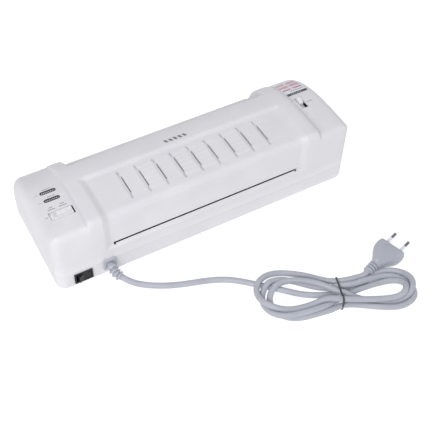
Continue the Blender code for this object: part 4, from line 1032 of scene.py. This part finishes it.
def smooth_route(knots, spacing):
    """Points at an even spacing along a Catmull-Rom curve through the knots."""
    knots = [Vector(point) for point in knots]
    knots = [2 * knots[0] - knots[1]] + knots + [2 * knots[-1] - knots[-2]]
    dense = []
    steps = 12
    for index in range(1, len(knots) - 2):
        before, here, there, after = knots[index - 1:index + 3]
        for step in range(steps):
            t = step / steps
            dense.append(0.5 * (2 * here + (there - before) * t
                                + (2 * before - 5 * here + 4 * there - after) * t ** 2
                                + (3 * here - before - 3 * there + after) * t ** 3))
    dense.append(knots[-2])
    lengths = [0.0]
    for one, two in zip(dense, dense[1:]):
        lengths.append(lengths[-1] + (two - one).length)
    count = round(lengths[-1] / spacing) + 1
    wanted = np.linspace(0, lengths[-1], count)
    table = np.array([tuple(point) for point in dense])
    return np.stack([np.interp(wanted, lengths, table[:, axis]) for axis in range(3)], axis=1)


def settled(points, spacing):
    """Pushes stretches of the cord that lie in each other apart, and keeps it smooth and off the floor."""
    push_share, smooth_share, home_share = 0.35, 0.4, 0.02
    apart = 2 * CORD_RADIUS * 1.01
    count = len(points)
    near = round(3.5 * apart / spacing)
    order = np.arange(count)
    other = np.abs(order[:, None] - order[None, :]) > near
    home = points.copy()
    loose = np.ones(count)
    loose[:PIN_COUNT] = 0
    loose[-PIN_COUNT:] = 0
    for step in range(RELAX_STEPS):
        gap = points[:, None, :] - points[None, :, :]
        distance = np.linalg.norm(gap, axis=2)
        close = other & (distance < apart)
        push = np.where(close, (apart - distance) / np.maximum(distance, 1e-6), 0.0)
        moves = (gap * push[:, :, None]).sum(axis=1) * push_share
        smooth = np.zeros_like(points)
        smooth[1:-1] = (points[:-2] + points[2:]) / 2 - points[1:-1]
        settle = 0.0 if step > RELAX_STEPS - FREE_STEPS else home_share
        moves += smooth * smooth_share + (home - points) * settle
        points = points + moves * loose[:, None]
        points[:, 2] = np.maximum(points[:, 2], CORD_RADIUS)
    return points


def hank_point(along, across, height):
    """From millimetres on the hank's own axes."""
    cos, sin = math.cos(HANK_ANGLE), math.sin(HANK_ANGLE)
    x = HANK_CENTRE[0] + (along * cos - across * sin) / 1000
    y = HANK_CENTRE[1] + (along * sin + across * cos) / 1000
    return (x, y, height / 1000)


def hank_route():
    """The turns, lobe by lobe, with the waist passes before each and after the last."""
    route = []
    for passes, (centre, radii, ends, heights) in zip(WAISTS, LOBES):
        route += [hank_point(*place) for place in passes]
        for step in range(LOBE_STEPS + 1):
            share = step / LOBE_STEPS
            angle = math.radians(mix(*ends, share))
            height = float(np.interp(share * 4, range(5), heights))
            along = centre[0] + radii[0] * math.cos(angle)
            across = centre[1] + radii[1] * math.sin(angle)
            route.append(hank_point(along, across, height))
    return route + [hank_point(*place) for place in WAISTS[-1]]


def make_cord(look):
    knots = [*BOOT_ROUTE, *CORD_ROUTE, *hank_route(), PLUG_ENTRY]
    knots = [(x, y + SHIFT_Y, z) for x, y, z in knots]
    points = settled(smooth_route(knots, SPACING), SPACING)
    length = float(np.linalg.norm(np.diff(points, axis=0), axis=1).sum())
    curve = bpy.data.curves.new("mains_lead", "CURVE")
    curve.dimensions = "3D"
    curve.bevel_depth = CORD_RADIUS
    curve.bevel_resolution = 6
    curve.use_fill_caps = True
    spline = curve.splines.new("POLY")
    spline.points.add(len(points) - 1)
    for knot, point in zip(spline.points, points):
        knot.co = (*point, 1.0)
    spline.use_smooth = True
    curve.materials.append(look)
    item = bpy.data.objects.new("mains_lead", curve)
    bpy.context.scene.collection.objects.link(item)
    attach(item, "casing")
    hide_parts("power_cord", "cord_hank", "plug_lead")
    return item, points, length


def main():
    make_camera()
    make_studio()
    looks = make_looks()
    lead, points, length = make_cord(looks["grey_cord_pvc"])
    make_cover(looks)
    # Painted shade inside the exit slot.
    make_exit_slot_painted_shade(looks)
    make_sticker(looks)
    make_marks(looks)
    make_windows(looks)
    make_slider(looks)
    make_lever(looks)
    make_gland(looks)
    make_plug(looks)
    make_tie(looks, points)
    dress_nodes(looks)


main()
